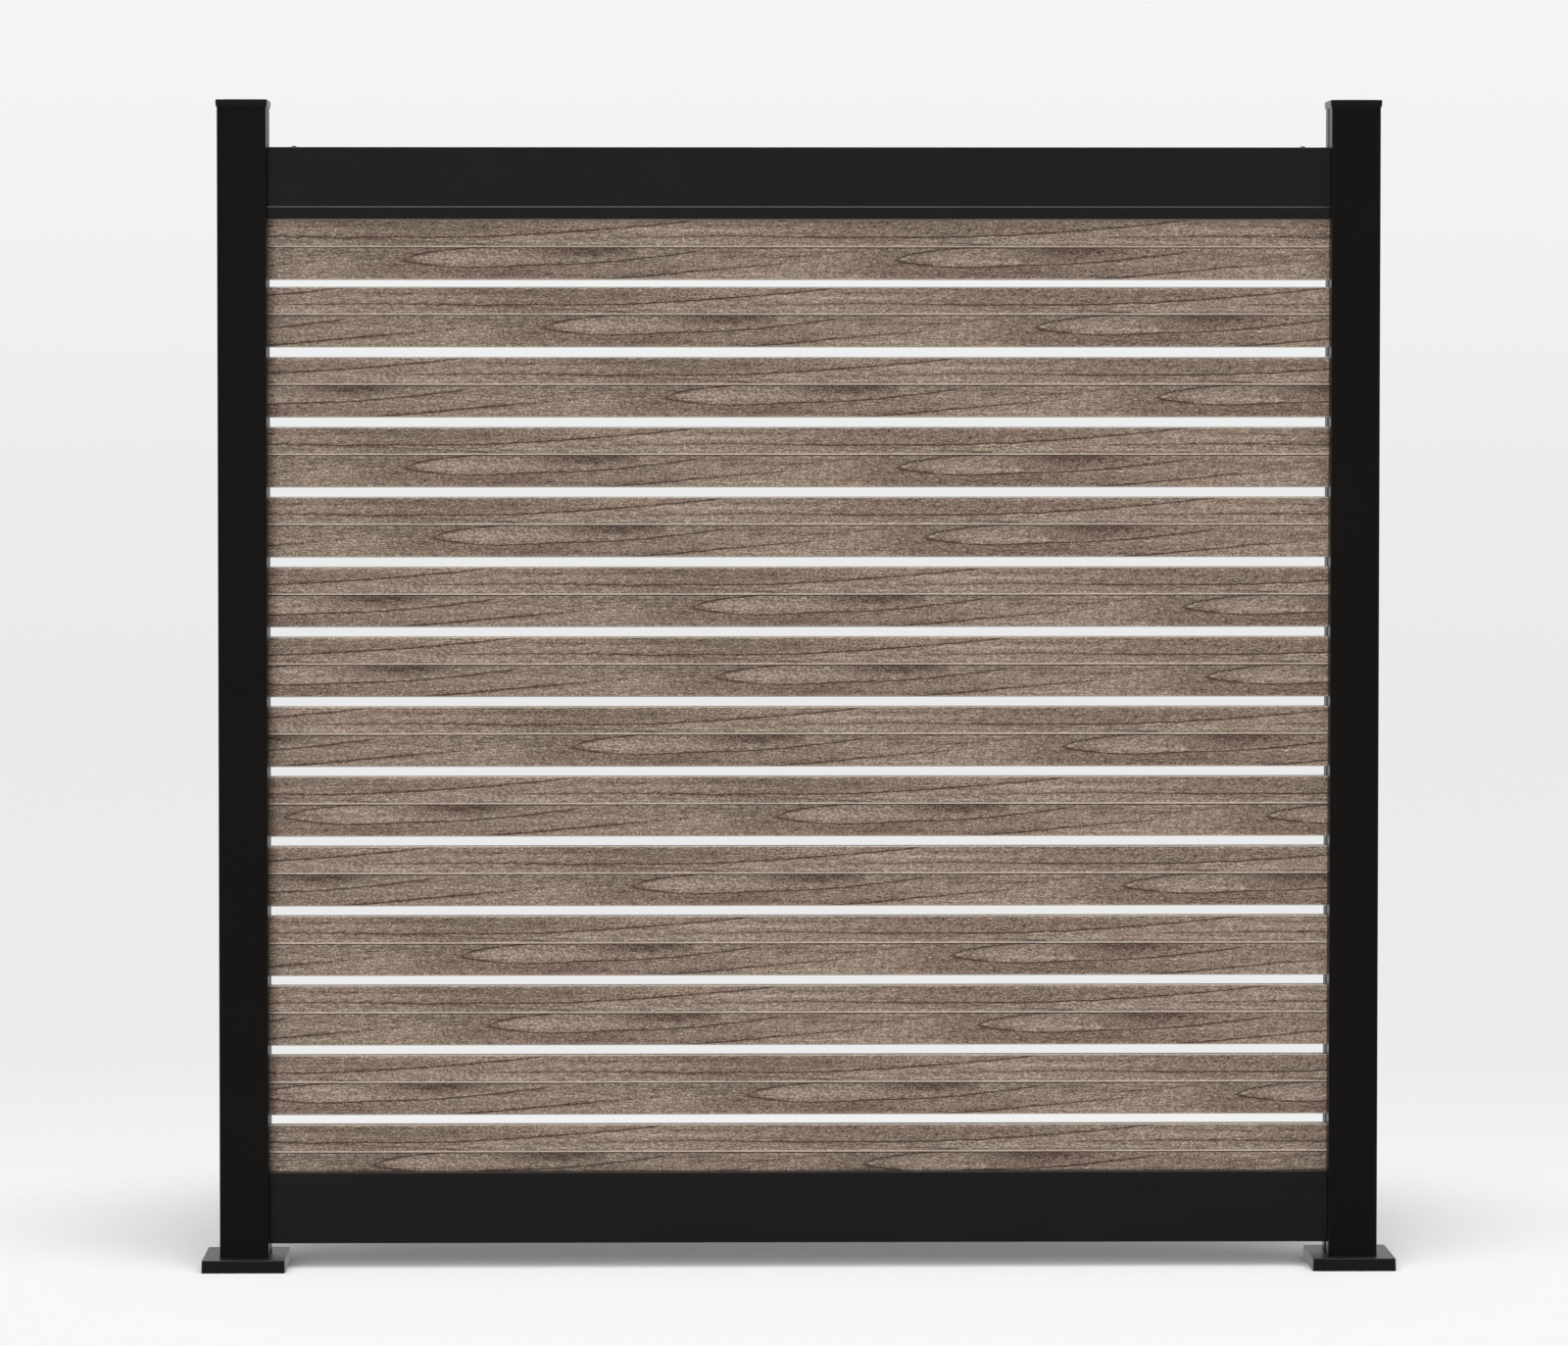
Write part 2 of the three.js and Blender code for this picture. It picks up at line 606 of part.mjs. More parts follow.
const bottomRail = mesh('bottom_rail', railGeometry(), railMetal);
bottomRail.position.z = bottomRailBase;
screen.add(bottomRail);

const topRail = mesh('top_rail', railGeometry(), railMetal);
topRail.position.z = topRailTop;
topRail.rotation.x = Math.PI;
screen.add(topRail);

for (let number = 1; number <= SLAT_COUNT; number += 1) {
  const slat = mesh(`slat_${twoDigits(number)}`, slatGeometry(), woodGrain);
  slat.position.z = slatBase(number);
  screen.add(slat);
}

export default screen;
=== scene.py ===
# %% [markdown]
# # A garden privacy screen, dressed in Blender
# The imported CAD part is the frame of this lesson. It holds every size, so the pieces made here are placed
# from its boxes. The lesson first sets up a few helpers, then the shared shader groups, then each finish,
# then each piece with its finish, and at the end the floor, the light and the camera.

import math

import bmesh
import bpy
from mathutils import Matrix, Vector


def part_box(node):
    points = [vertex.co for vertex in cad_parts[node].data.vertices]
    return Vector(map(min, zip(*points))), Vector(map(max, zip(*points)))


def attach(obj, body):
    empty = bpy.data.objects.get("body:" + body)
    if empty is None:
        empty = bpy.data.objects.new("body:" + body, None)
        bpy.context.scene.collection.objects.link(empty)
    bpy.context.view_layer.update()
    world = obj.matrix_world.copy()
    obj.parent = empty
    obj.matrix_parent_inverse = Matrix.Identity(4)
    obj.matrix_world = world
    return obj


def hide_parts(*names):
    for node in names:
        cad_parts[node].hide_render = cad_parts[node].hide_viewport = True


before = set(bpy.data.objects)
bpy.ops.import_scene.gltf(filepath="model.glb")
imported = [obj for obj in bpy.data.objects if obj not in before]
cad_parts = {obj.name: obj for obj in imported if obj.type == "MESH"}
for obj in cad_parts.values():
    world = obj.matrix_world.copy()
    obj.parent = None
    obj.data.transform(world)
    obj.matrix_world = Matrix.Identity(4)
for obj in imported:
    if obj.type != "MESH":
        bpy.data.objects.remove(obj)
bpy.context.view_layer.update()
MM = 0.001

# %% [markdown]
# ## Places from the frame
# A node's box gives its lowest and highest corner. The screen is made of straight bars, so a few boxes tell
# where each bar starts and ends. Only the small sizes of the bars' sections are written here.

# %% Read the main places
SLAT_COUNT = sum(name.startswith("slat_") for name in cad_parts)
SIDES = ("left", "right")
INWARD = {"left": 1, "right": -1}  # along X, from a post towards the slats

post_low, post_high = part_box("post_left")
slat_low, slat_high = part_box("slat_01")
rail_low, rail_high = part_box("bottom_rail")

post_side = post_high[1] - post_low[1]
post_centre = -(post_low[0] + post_high[0]) / 2
post_x = {side: -INWARD[side] * post_centre for side in SIDES}
slat_height = slat_high[2] - slat_low[2]
slat_length = slat_high[0] - slat_low[0]
rail_height = rail_high[2] - rail_low[2]
print(f"{SLAT_COUNT} slats, {slat_height / MM:.1f} mm high and {slat_length / MM:.0f} mm long")
print(f"posts {post_side / MM:.1f} mm square, {2 * post_centre / MM:.1f} mm apart")

# %% [markdown]
# ## Helpers for node trees
# Both geometry trees and shader trees are built in the script. `put` adds one node, sets its properties and
# feeds its inputs from other nodes or with plain values. The helpers after it do the same for one step of
# arithmetic, for a change of range and for noise. `new_group` makes a tree with named sockets: an input
# given as a plain number becomes a Float socket, and any other kind is given by its name.


# %% Node tree helpers
def put(tree, kind, feeds=None, **settings):
    node = tree.nodes.new(kind)
    for name, value in settings.items():
        setattr(node, name, value)
    for key, source in (feeds or {}).items():
        if isinstance(source, bpy.types.NodeSocket):
            tree.links.new(source, node.inputs[key])
        else:
            node.inputs[key].default_value = source
    return node


def calculate(tree, operation, *sources, clamp=False):
    feeds = dict(enumerate(sources))
    return put(tree, "ShaderNodeMath", feeds, operation=operation, use_clamp=clamp).outputs[0]


def total(tree, sources):
    result = sources[0]
    for source in sources[1:]:
        result = calculate(tree, "ADD", result, source)
    return result


def stretch(tree, value, low, high, **settings):
    """The value as a share from 0 at low to 1 at high."""
    feeds = {"Value": value, "From Min": low, "From Max": high}
    return put(tree, "ShaderNodeMapRange", feeds, **settings).outputs[0]


def noise(tree, where, scale, detail):
    feeds = {"Vector": where, "Scale": scale, "Detail": detail}
    return put(tree, "ShaderNodeTexNoise", feeds).outputs[0]


def new_group(name, kind, inputs, outputs, output_kind="Float"):
    tree = bpy.data.node_groups.new(name, kind)
    for title, given in inputs.items():
        socket_kind = given if isinstance(given, str) else "Float"
        socket = tree.interface.new_socket(title, in_out="INPUT", socket_type=f"NodeSocket{socket_kind}")
        if socket_kind == "Float":
            socket.default_value = given
    for title in outputs:
        tree.interface.new_socket(title, in_out="OUTPUT", socket_type=f"NodeSocket{output_kind}")
    return tree, tree.nodes.new("NodeGroupInput").outputs, tree.nodes.new("NodeGroupOutput")


def finish_group(tree, group_output, results):
    for title, socket in results.items():
        tree.links.new(socket, group_output.inputs[title])
    print(f"{tree.name}: {len(tree.nodes)} nodes")


# %% [markdown]
# ## Shader groups that several finishes share
# Powder coat, sublimated print and moulded plastic all have a fine bumpy skin, so one group makes that skin
# with its own grain size and depth in each finish. A second group finds the edges: each section marks its
# rounded corners with an attribute called `edge`, which a broken-up noise then turns into light wear and a
# painted edge highlight, a paler colour where a rounded edge would catch the light. A third one lays a trace
# of dust on what faces up.


# %% Use a group
def place(group, tree, **feeds):
    """One use of a shader group, with its inputs named in plain words."""
    node = put(tree, "ShaderNodeGroup", None, node_tree=group)
    for title, source in feeds.items():
        key = title.replace("_", " ").capitalize()
        if isinstance(source, bpy.types.NodeSocket):
            tree.links.new(source, node.inputs[key])
        else:
            node.inputs[key].default_value = source
    return node.outputs


# %% Fine skin
def fine_skin_group():
    sizes = {"Grain size": 0.6, "Unevenness": 0.3}
    tree, given, out = new_group("fine_skin", "ShaderNodeTree", sizes, ["Height", "Mottle"])
    where = put(tree, "ShaderNodeTexCoord").outputs["Object"]
    per_metre = calculate(tree, "DIVIDE", 1 / MM, given["Grain size"])
    fine = noise(tree, where, per_metre, 2.0)
    wide = noise(tree, where, calculate(tree, "MULTIPLY", per_metre, 0.12), 3.0)
    swell = calculate(tree, "MULTIPLY", wide, given["Unevenness"])
    cloud = noise(tree, where, 7.0, 4.0)
    finish_group(tree, out, {"Height": calculate(tree, "ADD", fine, swell), "Mottle": cloud})
    return tree


fine_skin = fine_skin_group()


# %% Rubbed edges
def edge_wear_and_highlight_group():
    tree, given, out = new_group("rubbed_edge", "ShaderNodeTree", {"Amount": 0.5}, ["Mask"])
    # The mask places edge wear together with a painted edge highlight, a paler colour on rounded edges.
    mark = put(tree, "ShaderNodeAttribute", attribute_name="edge").outputs["Fac"]
    edge = calculate(tree, "MAXIMUM", mark, 0.0)
    where = put(tree, "ShaderNodeTexCoord").outputs["Object"]
    broken = stretch(tree, noise(tree, where, 90.0, 5.0), 0.42, 0.68)
    strongest = calculate(tree, "POWER", edge, 2.0)
    edge_wear_and_highlight_mask = calculate(tree, "MULTIPLY", strongest, broken)
    finish_group(tree, out, {"Mask": calculate(tree, "MULTIPLY", edge_wear_and_highlight_mask, given["Amount"], clamp=True)})
    return tree


rubbed_edge = edge_wear_and_highlight_group()


# %% Dust
def settled_dust_group():
    tree, given, out = new_group("settled_dust", "ShaderNodeTree", {"Amount": 0.1}, ["Mask"])
    normal = put(tree, "ShaderNodeNewGeometry").outputs["Normal"]
    up = put(tree, "ShaderNodeSeparateXYZ", {0: normal}).outputs["Z"]
    where = put(tree, "ShaderNodeTexCoord").outputs["Object"]
    grains = stretch(tree, noise(tree, where, 260.0, 6.0), 0.45, 0.75)
    lying = calculate(tree, "MULTIPLY", stretch(tree, up, 0.3, 0.95), grains)
    finish_group(tree, out, {"Mask": calculate(tree, "MULTIPLY", lying, given["Amount"], clamp=True)})
    return tree


settled_dust = settled_dust_group()


# %% [markdown]
# ## Black finishes
# Posts and rails are powder coated, covers and caps are moulded. All are near black, so what tells them
# apart is how much and how sharply they shine. A black surface needs a very dark base colour, because the
# shine adds its own light on top. Each finish below uses the three groups with its own values.


# %% Helpers for finishes
def srgb(red, green, blue):
    """A colour picked from a picture, from 0 to 255, as the linear colour that a shader works in."""

    def linear(value):
        share = value / 255
        return share / 12.92 if share <= 0.04045 else ((share + 0.055) / 1.055) ** 2.4

    return (linear(red), linear(green), linear(blue), 1.0)


def blend(tree, share, first, second):
    node = put(tree, "ShaderNodeMix", {0: share, 6: first, 7: second}, data_type="RGBA")
    return node.outputs[2]


def new_finish(name, **plain):
    material = bpy.data.materials.new(name)
    material.use_nodes = True
    tree = material.node_tree
    shader = tree.nodes["Principled BSDF"]
    for title, value in plain.items():
        shader.inputs[title.replace("_", " ")].default_value = value
    return material, tree, shader


def feed(tree, shader, colour, rough, height, depth):
    """Links a finish to its shader. depth is the height of the bumps in millimetres."""
    bump = put(tree, "ShaderNodeBump", {"Height": height, "Distance": depth * MM, "Strength": 1.0})
    for title, socket in (("Base Color", colour), ("Roughness", rough), ("Normal", bump.outputs[0])):
        tree.links.new(socket, shader.inputs[title])


# %% A coated or moulded finish
MOTTLE_CONTRAST = 1.25
ROUGHNESS_SPREAD = 0.10
DUST_ROUGHNESS = 0.25
COAT_DUST = srgb(150, 146, 140)


def coated(name, colour, edge_wear_and_highlight_colour, roughness, grain, depth, wear_and_highlight, dust=0.05):
    """A coat or moulded skin. Grain and its depth are in mm; edge wear with painted highlight, and dust, are
    shares.
    """
    material, tree, shader = new_finish(name)
    skin = place(fine_skin, tree, grain_size=grain, unevenness=0.35)
    edge_wear_and_highlight_mask = place(rubbed_edge, tree, amount=wear_and_highlight)["Mask"]
    dusty = place(settled_dust, tree, amount=dust)["Mask"]
    paler = tuple(MOTTLE_CONTRAST * part for part in colour[:3]) + (1.0,)
    mottled = blend(tree, skin["Mottle"], colour, paler)
    # The paler edge colour is wear and a painted edge highlight at once.
    edge_worn_and_highlighted = blend(tree, edge_wear_and_highlight_mask, mottled, edge_wear_and_highlight_colour)
    dusted = blend(tree, dusty, edge_worn_and_highlighted, COAT_DUST)
    smoothest = roughness - ROUGHNESS_SPREAD / 2
    around = calculate(tree, "MULTIPLY_ADD", skin["Mottle"], ROUGHNESS_SPREAD, smoothest)
    rougher = calculate(tree, "MULTIPLY_ADD", dusty, DUST_ROUGHNESS, around, clamp=True)
    feed(tree, shader, dusted, rougher, skin["Height"], depth)
    print(f"{name}: roughness about {roughness}, grain {grain} mm")
    return material


# %% Powder coat and moulded plastics
# Each coat's second colour is its paler edge colour: edge wear with a painted edge highlight.
post_coat = coated("post_powder_coat", srgb(17, 15, 14), srgb(46, 45, 44), 0.40, 0.7, 0.015, 0.5)
rail_coat = coated("rail_powder_coat", srgb(28, 26, 26), srgb(56, 55, 54), 0.40, 0.7, 0.015, 0.6)
cap_plastic = coated("cap_moulded_plastic", srgb(24, 22, 21), srgb(48, 46, 44), 0.34, 0.9, 0.012, 0.4)
cover_plastic = coated("cover_moulded_plastic", srgb(27, 26, 26), srgb(60, 58, 56), 0.40, 0.9, 0.01, 0.6)
clip_plastic = coated("clip_moulded_plastic", srgb(20, 19, 19), srgb(38, 37, 36), 0.70, 0.8, 0.02, 0.3, 0.04)

# %% [markdown]
# ## Bare steel
# The plates under the covers and the brackets in the rails are zinc plated. Zinc shows a fine crystal
# pattern, which a cell texture gives, and the rolled sheet adds long faint streaks. The screws are
# blackened steel.


# %% Zinc plate and blackened screws
def zinc_finish():
    material, tree, shader = new_finish("zinc_plated_steel", Metallic=1.0)
    where = put(tree, "ShaderNodeTexCoord").outputs["Object"]
    crystals = put(tree, "ShaderNodeTexVoronoi", {"Vector": where, "Scale": 180.0}).outputs["Color"]
    shade = put(tree, "ShaderNodeSeparateColor", {0: crystals}).outputs[0]
    stretched = put(tree, "ShaderNodeMapping", {"Vector": where, "Scale": (40.0, 900.0, 900.0)}).outputs[0]
    streaks = noise(tree, stretched, 1.0, 3.0)
    mixed = calculate(tree, "MULTIPLY_ADD", shade, 0.5, calculate(tree, "MULTIPLY", streaks, 0.5))
    colour = blend(tree, mixed, srgb(128, 131, 134), srgb(182, 184, 186))
    feed(tree, shader, colour, calculate(tree, "MULTIPLY_ADD", mixed, 0.22, 0.28), mixed, 0.01)
    return material


def blackened_finish():
    material, tree, shader = new_finish("blackened_screw_steel", Metallic=0.2)
    skin = place(fine_skin, tree, grain_size=0.4, unevenness=0.5)
    edge_wear_and_highlight_mask = place(rubbed_edge, tree, amount=0.6)["Mask"]
    oxide = blend(tree, skin["Mottle"], srgb(20, 19, 19), srgb(34, 33, 32))
    # The paler colour on the screw's edges is wear with a painted edge highlight.
    colour = blend(tree, edge_wear_and_highlight_mask, oxide, srgb(64, 62, 60))
    rough = calculate(tree, "MULTIPLY_ADD", skin["Mottle"], 0.2, 0.45)
    feed(tree, shader, colour, rough, skin["Height"], 0.01)
    return material


zinc = zinc_finish()
screw_black = blackened_finish()
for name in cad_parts:
    if name.startswith(("base_plate", "rail_bracket")):
        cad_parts[name].data.materials.clear()
        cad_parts[name].data.materials.append(zinc)
        print("zinc on", name)

# %% [markdown]
# ## The wood print
# The slats carry a printed walnut grain. One print roller repeats along the whole length, and each slat was
# cut at another place, so every slat shows the same drawing shifted sideways. The drawing has a few long
# dark lines that climb slowly, a pointed oval, soft darker and paler patches, and on all of it fine streaks
# and pores.
#
# Each long line is a smooth curve through a few points, so it is a Float Curve node: it turns the place
# along the repeat into the line's height on the slat. A second curve fades the line in and out. The
# `grain_line` group then draws a dark core there, with a soft shade on one side as a growth ring has.

# %% Sizes of the print
REPEAT = 768.0  # mm along the slat
PRINT_DEPTH = 112.0  # mm round a slat's half, from the middle of its top to the middle of its bottom


# %% Groups that draw one line and one soft patch
def grain_line_group():
    sizes = {"Across": 0.0, "Path": 0.0, "Strength": 1.0, "Core": 2.0, "Reach": 9.0, "Side": 1.0}
    tree, given, out = new_group("grain_line", "ShaderNodeTree", sizes, ["Line", "Shade"])
    away = calculate(tree, "SUBTRACT", given["Across"], given["Path"])
    near = calculate(tree, "DIVIDE", calculate(tree, "ABSOLUTE", away), given["Core"])
    core = put(
        tree,
        "ShaderNodeMapRange",
        {"Value": near, "From Min": 0.0, "From Max": 1.0, "To Min": 1.0, "To Max": 0.0},
        interpolation_type="SMOOTHSTEP",
    ).outputs[0]
    outward = calculate(tree, "MULTIPLY", away, given["Side"])
    faded = calculate(tree, "DIVIDE", outward, given["Reach"])
    falling = calculate(tree, "SUBTRACT", 1.0, faded, clamp=True)
    shaded = calculate(tree, "MULTIPLY", falling, calculate(tree, "GREATER_THAN", outward, 0.0))
    softly = calculate(tree, "POWER", shaded, 1.6)
    line = calculate(tree, "MULTIPLY", core, given["Strength"])
    finish_group(tree, out, {"Line": line, "Shade": calculate(tree, "MULTIPLY", softly, given["Strength"])})
    return tree


def soft_patch_group():
    places = {"Along": 0.0, "Across": 0.0, "Middle along": 0.0, "Middle across": 0.0}
    sizes = {"Half length": 50.0, "Half width": 10.0, "Tone": -0.1}
    tree, given, out = new_group("soft_patch", "ShaderNodeTree", places | sizes, ["Tone"])
    apart = calculate(tree, "SUBTRACT", given["Along"], given["Middle along"])
    nearest = calculate(tree, "WRAP", apart, REPEAT / 2, -REPEAT / 2)
    far_along = calculate(tree, "DIVIDE", nearest, given["Half length"])
    off = calculate(tree, "SUBTRACT", given["Across"], given["Middle across"])
    far_across = calculate(tree, "DIVIDE", off, given["Half width"])
    squares = calculate(
        tree, "MULTIPLY_ADD", far_along, far_along, calculate(tree, "MULTIPLY", far_across, far_across)
    )
    bell = calculate(tree, "EXPONENT", calculate(tree, "MULTIPLY", squares, -1.0))
    finish_group(tree, out, {"Tone": calculate(tree, "MULTIPLY", bell, given["Tone"])})
    return tree


grain_line = grain_line_group()
soft_patch = soft_patch_group()

# %% [markdown]
# The drawing itself is a short list. A line is a few points of (mm along the repeat, mm down from the slat's
# top edge), the same for its strength, and the side on which its ring is shaded: 1 below the line, -1 above.

# %% The drawing of one repeat
GRAIN_LINES = {
    "riser_start": (
        [(0, 28.2), (306, 28.2), (400, 27.0), (520, 25.7), (612, 26.7), (690, 27.6), (768, 27.0)],
        [(0, 0), (306, 0), (357, 0.35), (440, 0.6), (560, 0.9), (768, 0.9)],
        -1,
    ),
    "riser": (
        [(0, 27.0), (110, 27.0), (178, 24.6), (286, 18.1), (408, 7.8), (478, 1.5), (768, 1.5)],
        [(0, 0.9), (110, 1), (330, 1), (440, 0.85), (484, 0), (768, 0)],
        -1,
    ),
    "oval_roof": (
        [(0, 66), (15, 63.0), (24, 59.0), (41, 53.9), (70, 49.2), (104, 46.0), (142, 42.0), (768, 42)],
        [(0, 0), (13, 0), (17, 1), (90, 0.9), (142, 0.8), (150, 0), (768, 0)],
        -1,
    ),
    "oval_floor": (
        [
            (0, 62), (15, 64.5), (51, 70.2), (110, 74.6), (204, 71.6),
            (306, 68), (388, 60.2), (459, 51.8), (486, 45),
        ],
        [(0, 0), (13, 0), (17, 1), (110, 1), (300, 1), (400, 0.85), (459, 0.8), (486, 0), (768, 0)],
        1,
    ),
    "short_start": (
        [(0, 28), (690, 28.4), (730, 30.0), (768, 31.6)],
        [(0, 0), (680, 0), (720, 0.35), (768, 0.45)],
        1,
    ),
    "short": (
        [(0, 31.6), (60, 34.6), (110, 36.8), (175, 39.4), (768, 40)],
        [(0, 0.45), (60, 0.35), (140, 0.6), (190, 0), (768, 0)],
        1,
    ),
    "foot_riser": (
        [(0, 96), (318, 92.4), (357, 90.8), (433, 84.2), (535, 75.2), (612, 68.7), (680, 62.0), (768, 58)],
        [(0, 0), (316, 0), (345, 1), (500, 0.95), (580, 0.6), (680, 0.1), (700, 0), (768, 0)],
        -1,
    ),
    "faint_riser": (
        [(0, 64), (550, 64.0), (612, 58.3), (690, 52.6), (768, 46.5)],
        [(0, 0), (560, 0), (610, 0.35), (700, 0.4), (760, 0), (768, 0)],
        -1,
    ),
    "top_band": (
        [(0, 6), (440, 6.0), (510, 9.1), (576, 10.4), (660, 12.0), (768, 12)],
        [(0, 0), (445, 0), (500, 0.3), (600, 0.3), (670, 0), (768, 0)],
        -1,
    ),
}
# middle along, middle across, half length, half width, tone
SOFT_PATCHES = {
    "above_riser": (120, 12, 190, 12, -0.11),
    "below_riser": (470, 18, 150, 9, 0.08),
    "upper_strip": (270, 35, 190, 5, 0.06),
    "oval_heart": (105, 60, 70, 11, 0.08),
    "dark_knot": (300, 50, 80, 9, -0.36),
    "tip_shadow": (0, 62, 60, 22, -0.17),
    "under_oval": (190, 84, 190, 9, -0.17),
    "middle_shade": (450, 68, 90, 9, -0.06),
    "rippled_shade": (530, 52, 70, 8, -0.09),
    "pale_field": (620, 82, 110, 12, 0.05),
    "late_shade": (720, 8, 90, 9, -0.12),
}
print(len(GRAIN_LINES), "lines and", len(SOFT_PATCHES), "patches in one repeat")

# %% [markdown]
# `drawn_curve` turns such a list into a Float Curve node. A Float Curve works from 0 to 1 on both axes, so
# the places are divided by the repeat and by the depth of the print. `stretched_noise` makes the streaks,
# fibres and specks between the lines. Its grid leans a little, or the grains would line up as a weave does.

# %% Curves and stretched noise
GRID_LEAN = (0.31, -0.17)
GRID_LEVEL = 0.37


def drawn_curve(tree, fraction, points, span_along, span_value):
    node = put(tree, "ShaderNodeFloatCurve", {"Value": fraction})
    curve = node.mapping.curves[0]
    scaled = [(along / span_along, value / span_value) for along, value in points]
    curve.points[0].location = scaled[0]
    curve.points[-1].location = scaled[-1]
    for place_on_curve in scaled[1:-1]:
        curve.points.new(*place_on_curve)
    node.mapping.update()
    return node.outputs[0]


def stretched_noise(tree, along, across, length, width, detail=2.0):
    """Noise whose grains are length by width millimetres."""
    steps_along = calculate(tree, "DIVIDE", along, length)
    steps_across = calculate(tree, "DIVIDE", across, width)
    grain = put(
        tree,
        "ShaderNodeCombineXYZ",
        {
            "X": calculate(tree, "MULTIPLY_ADD", steps_across, GRID_LEAN[0], steps_along),
            "Y": calculate(tree, "MULTIPLY_ADD", steps_along, GRID_LEAN[1], steps_across),
            "Z": GRID_LEVEL,
        },
    ).outputs[0]
    return noise(tree, grain, 1.0, detail)


# %% Put the drawing together
# length, width, detail and weight of each noise on the tone; lengths in mm
NOISES = {
    "bands": (130.0, 5.0, 3.0, 0.40),
    "streaks": (26.0, 1.5, 3.0, 0.40),
    "fibres": (13.0, 1.3, 1.0, 0.65),
    "speckle": (3.2, 1.6, 0.5, 1.15),
}
LINE_WANDER = 3.0  # mm
INK = -0.5
RING_SHADE = -0.11
PORES = -0.16


def wood_print_group():
    names = {"Along": 0.0, "Across": 0.0}
    tree, given, out = new_group("wood_print", "ShaderNodeTree", names, ["Tone", "Warmth", "Height"])
    along, across = given["Along"], given["Across"]
    fraction = calculate(tree, "FRACT", calculate(tree, "DIVIDE", along, REPEAT))
    in_repeat = calculate(tree, "MULTIPLY", fraction, REPEAT)
    wander = calculate(tree, "SUBTRACT", stretched_noise(tree, along, across, 22.0, 14.0), 0.5)
    unsteady = calculate(tree, "MULTIPLY_ADD", wander, LINE_WANDER, across)
    lines, shades = [], []
    for path, strength, side in GRAIN_LINES.values():
        height = drawn_curve(tree, fraction, path, REPEAT, PRINT_DEPTH)
        drawn = place(
            grain_line,
            tree,
            across=unsteady,
            path=calculate(tree, "MULTIPLY", height, PRINT_DEPTH),
            strength=drawn_curve(tree, fraction, strength, REPEAT, 1.0),
            side=float(side),
        )
        lines.append(drawn["Line"])
        shades.append(drawn["Shade"])
    patches = [
        place(
            soft_patch,
            tree,
            along=in_repeat,
            across=unsteady,
            middle_along=float(middle_along),
            middle_across=float(middle_across),
            half_length=float(half_length),
            half_width=float(half_width),
            tone=tone,
        )["Tone"]
        for middle_along, middle_across, half_length, half_width, tone in SOFT_PATCHES.values()
    ]
    ink = calculate(tree, "MINIMUM", total(tree, lines), 1.0)
    pores = stretch(tree, stretched_noise(tree, along, across, 8.0, 0.7, 1.0), 0.60, 0.72)
    made = {
        name: stretched_noise(tree, along, across, length, width, detail)
        for name, (length, width, detail, _) in NOISES.items()
    }
    streaky = calculate(tree, "MULTIPLY_ADD", made["streaks"], 1.6, 0.2)

    def weighted(weights):
        return [calculate(tree, "MULTIPLY", source, weight) for source, weight in weights]

    tone = total(
        tree,
        [
            calculate(tree, "MULTIPLY_ADD", total(tree, patches), streaky, 0.5),
            *weighted([(ink, INK), (total(tree, shades), RING_SHADE), (pores, PORES)]),
            *weighted([(calculate(tree, "SUBTRACT", made[name], 0.5), NOISES[name][-1]) for name in NOISES]),
        ],
    )
    warmth = stretched_noise(tree, along, across, 170.0, 26.0)
    relief = total(tree, weighted([(made["speckle"], 0.6), (pores, -0.8), (ink, -0.8)]))
    finish_group(tree, out, {"Tone": tone, "Warmth": warmth, "Height": relief})
    return tree


wood_print = wood_print_group()

# %% [markdown]
# The material reads two attributes that the slats' tree stores: how far along the print a point lies, and
# how far round the slat's section. So the print turns the rounded corners as the real film does. A colour
# ramp turns the tone into the greyed brown of the photograph, and a second one is a little redder.


# %% The slats' finish
def colour_steps(tree, tone, steps):
    node = put(tree, "ShaderNodeValToRGB", {0: tone})
    ramp = node.color_ramp
    for number, (position, colour) in enumerate(steps):
        stop = ramp.elements[number] if number < 2 else ramp.elements.new(position)
        stop.position = position
        stop.color = colour
    return node.outputs[0]


# Painted light on the slats: a painted highlight on every positive mark, which is the raised line's flank
# and crest and the rounded top and bottom edges, and painted shade on the ledge of the raised line.
LINE_SHINE = (0.55, srgb(216, 204, 192))  # on the raised line's upper flank
LINE_SHADOW = (-0.95, srgb(34, 28, 24))  # on its ledge, whose mark is negative
GREY_WOOD = [(0.0, srgb(71, 56, 46)), (1.0, srgb(206, 190, 173)), (0.5, srgb(138, 122, 107))]
RED_WOOD = [(0.0, srgb(75, 56, 47)), (1.0, srgb(208, 190, 173)), (0.5, srgb(141, 121, 107))]


def slat_finish():
    material, tree, shader = new_finish("printed_wood_grain", Specular_IOR_Level=0.4)
    along = put(tree, "ShaderNodeAttribute", attribute_name="print_along").outputs["Fac"]
    across = put(tree, "ShaderNodeAttribute", attribute_name="print_across").outputs["Fac"]
    mark = put(tree, "ShaderNodeAttribute", attribute_name="edge").outputs["Fac"]
    drawn = place(wood_print, tree, along=along, across=across)
    grey, red = (colour_steps(tree, drawn["Tone"], steps) for steps in (GREY_WOOD, RED_WOOD))
    coloured = blend(tree, stretch(tree, drawn["Warmth"], 0.35, 0.65), grey, red)
    # The marks lay the painted highlight and the painted shade into the print's colour.
    for amount, colour in (LINE_SHINE, LINE_SHADOW):
        coloured = blend(tree, calculate(tree, "MULTIPLY", mark, amount, clamp=True), coloured, colour)
    dusty = place(settled_dust, tree, amount=0.06)["Mask"]
    dusted = blend(tree, dusty, coloured, srgb(176, 172, 165))
    rough = calculate(tree, "MULTIPLY_ADD", drawn["Tone"], -0.12, 0.56)
    skin = place(fine_skin, tree, grain_size=0.8, unevenness=0.2)["Height"]
    relief = calculate(tree, "MULTIPLY_ADD", drawn["Height"], 2.0, skin)
    feed(tree, shader, dusted, rough, relief, 0.03)
    return material


slat_print = slat_finish()

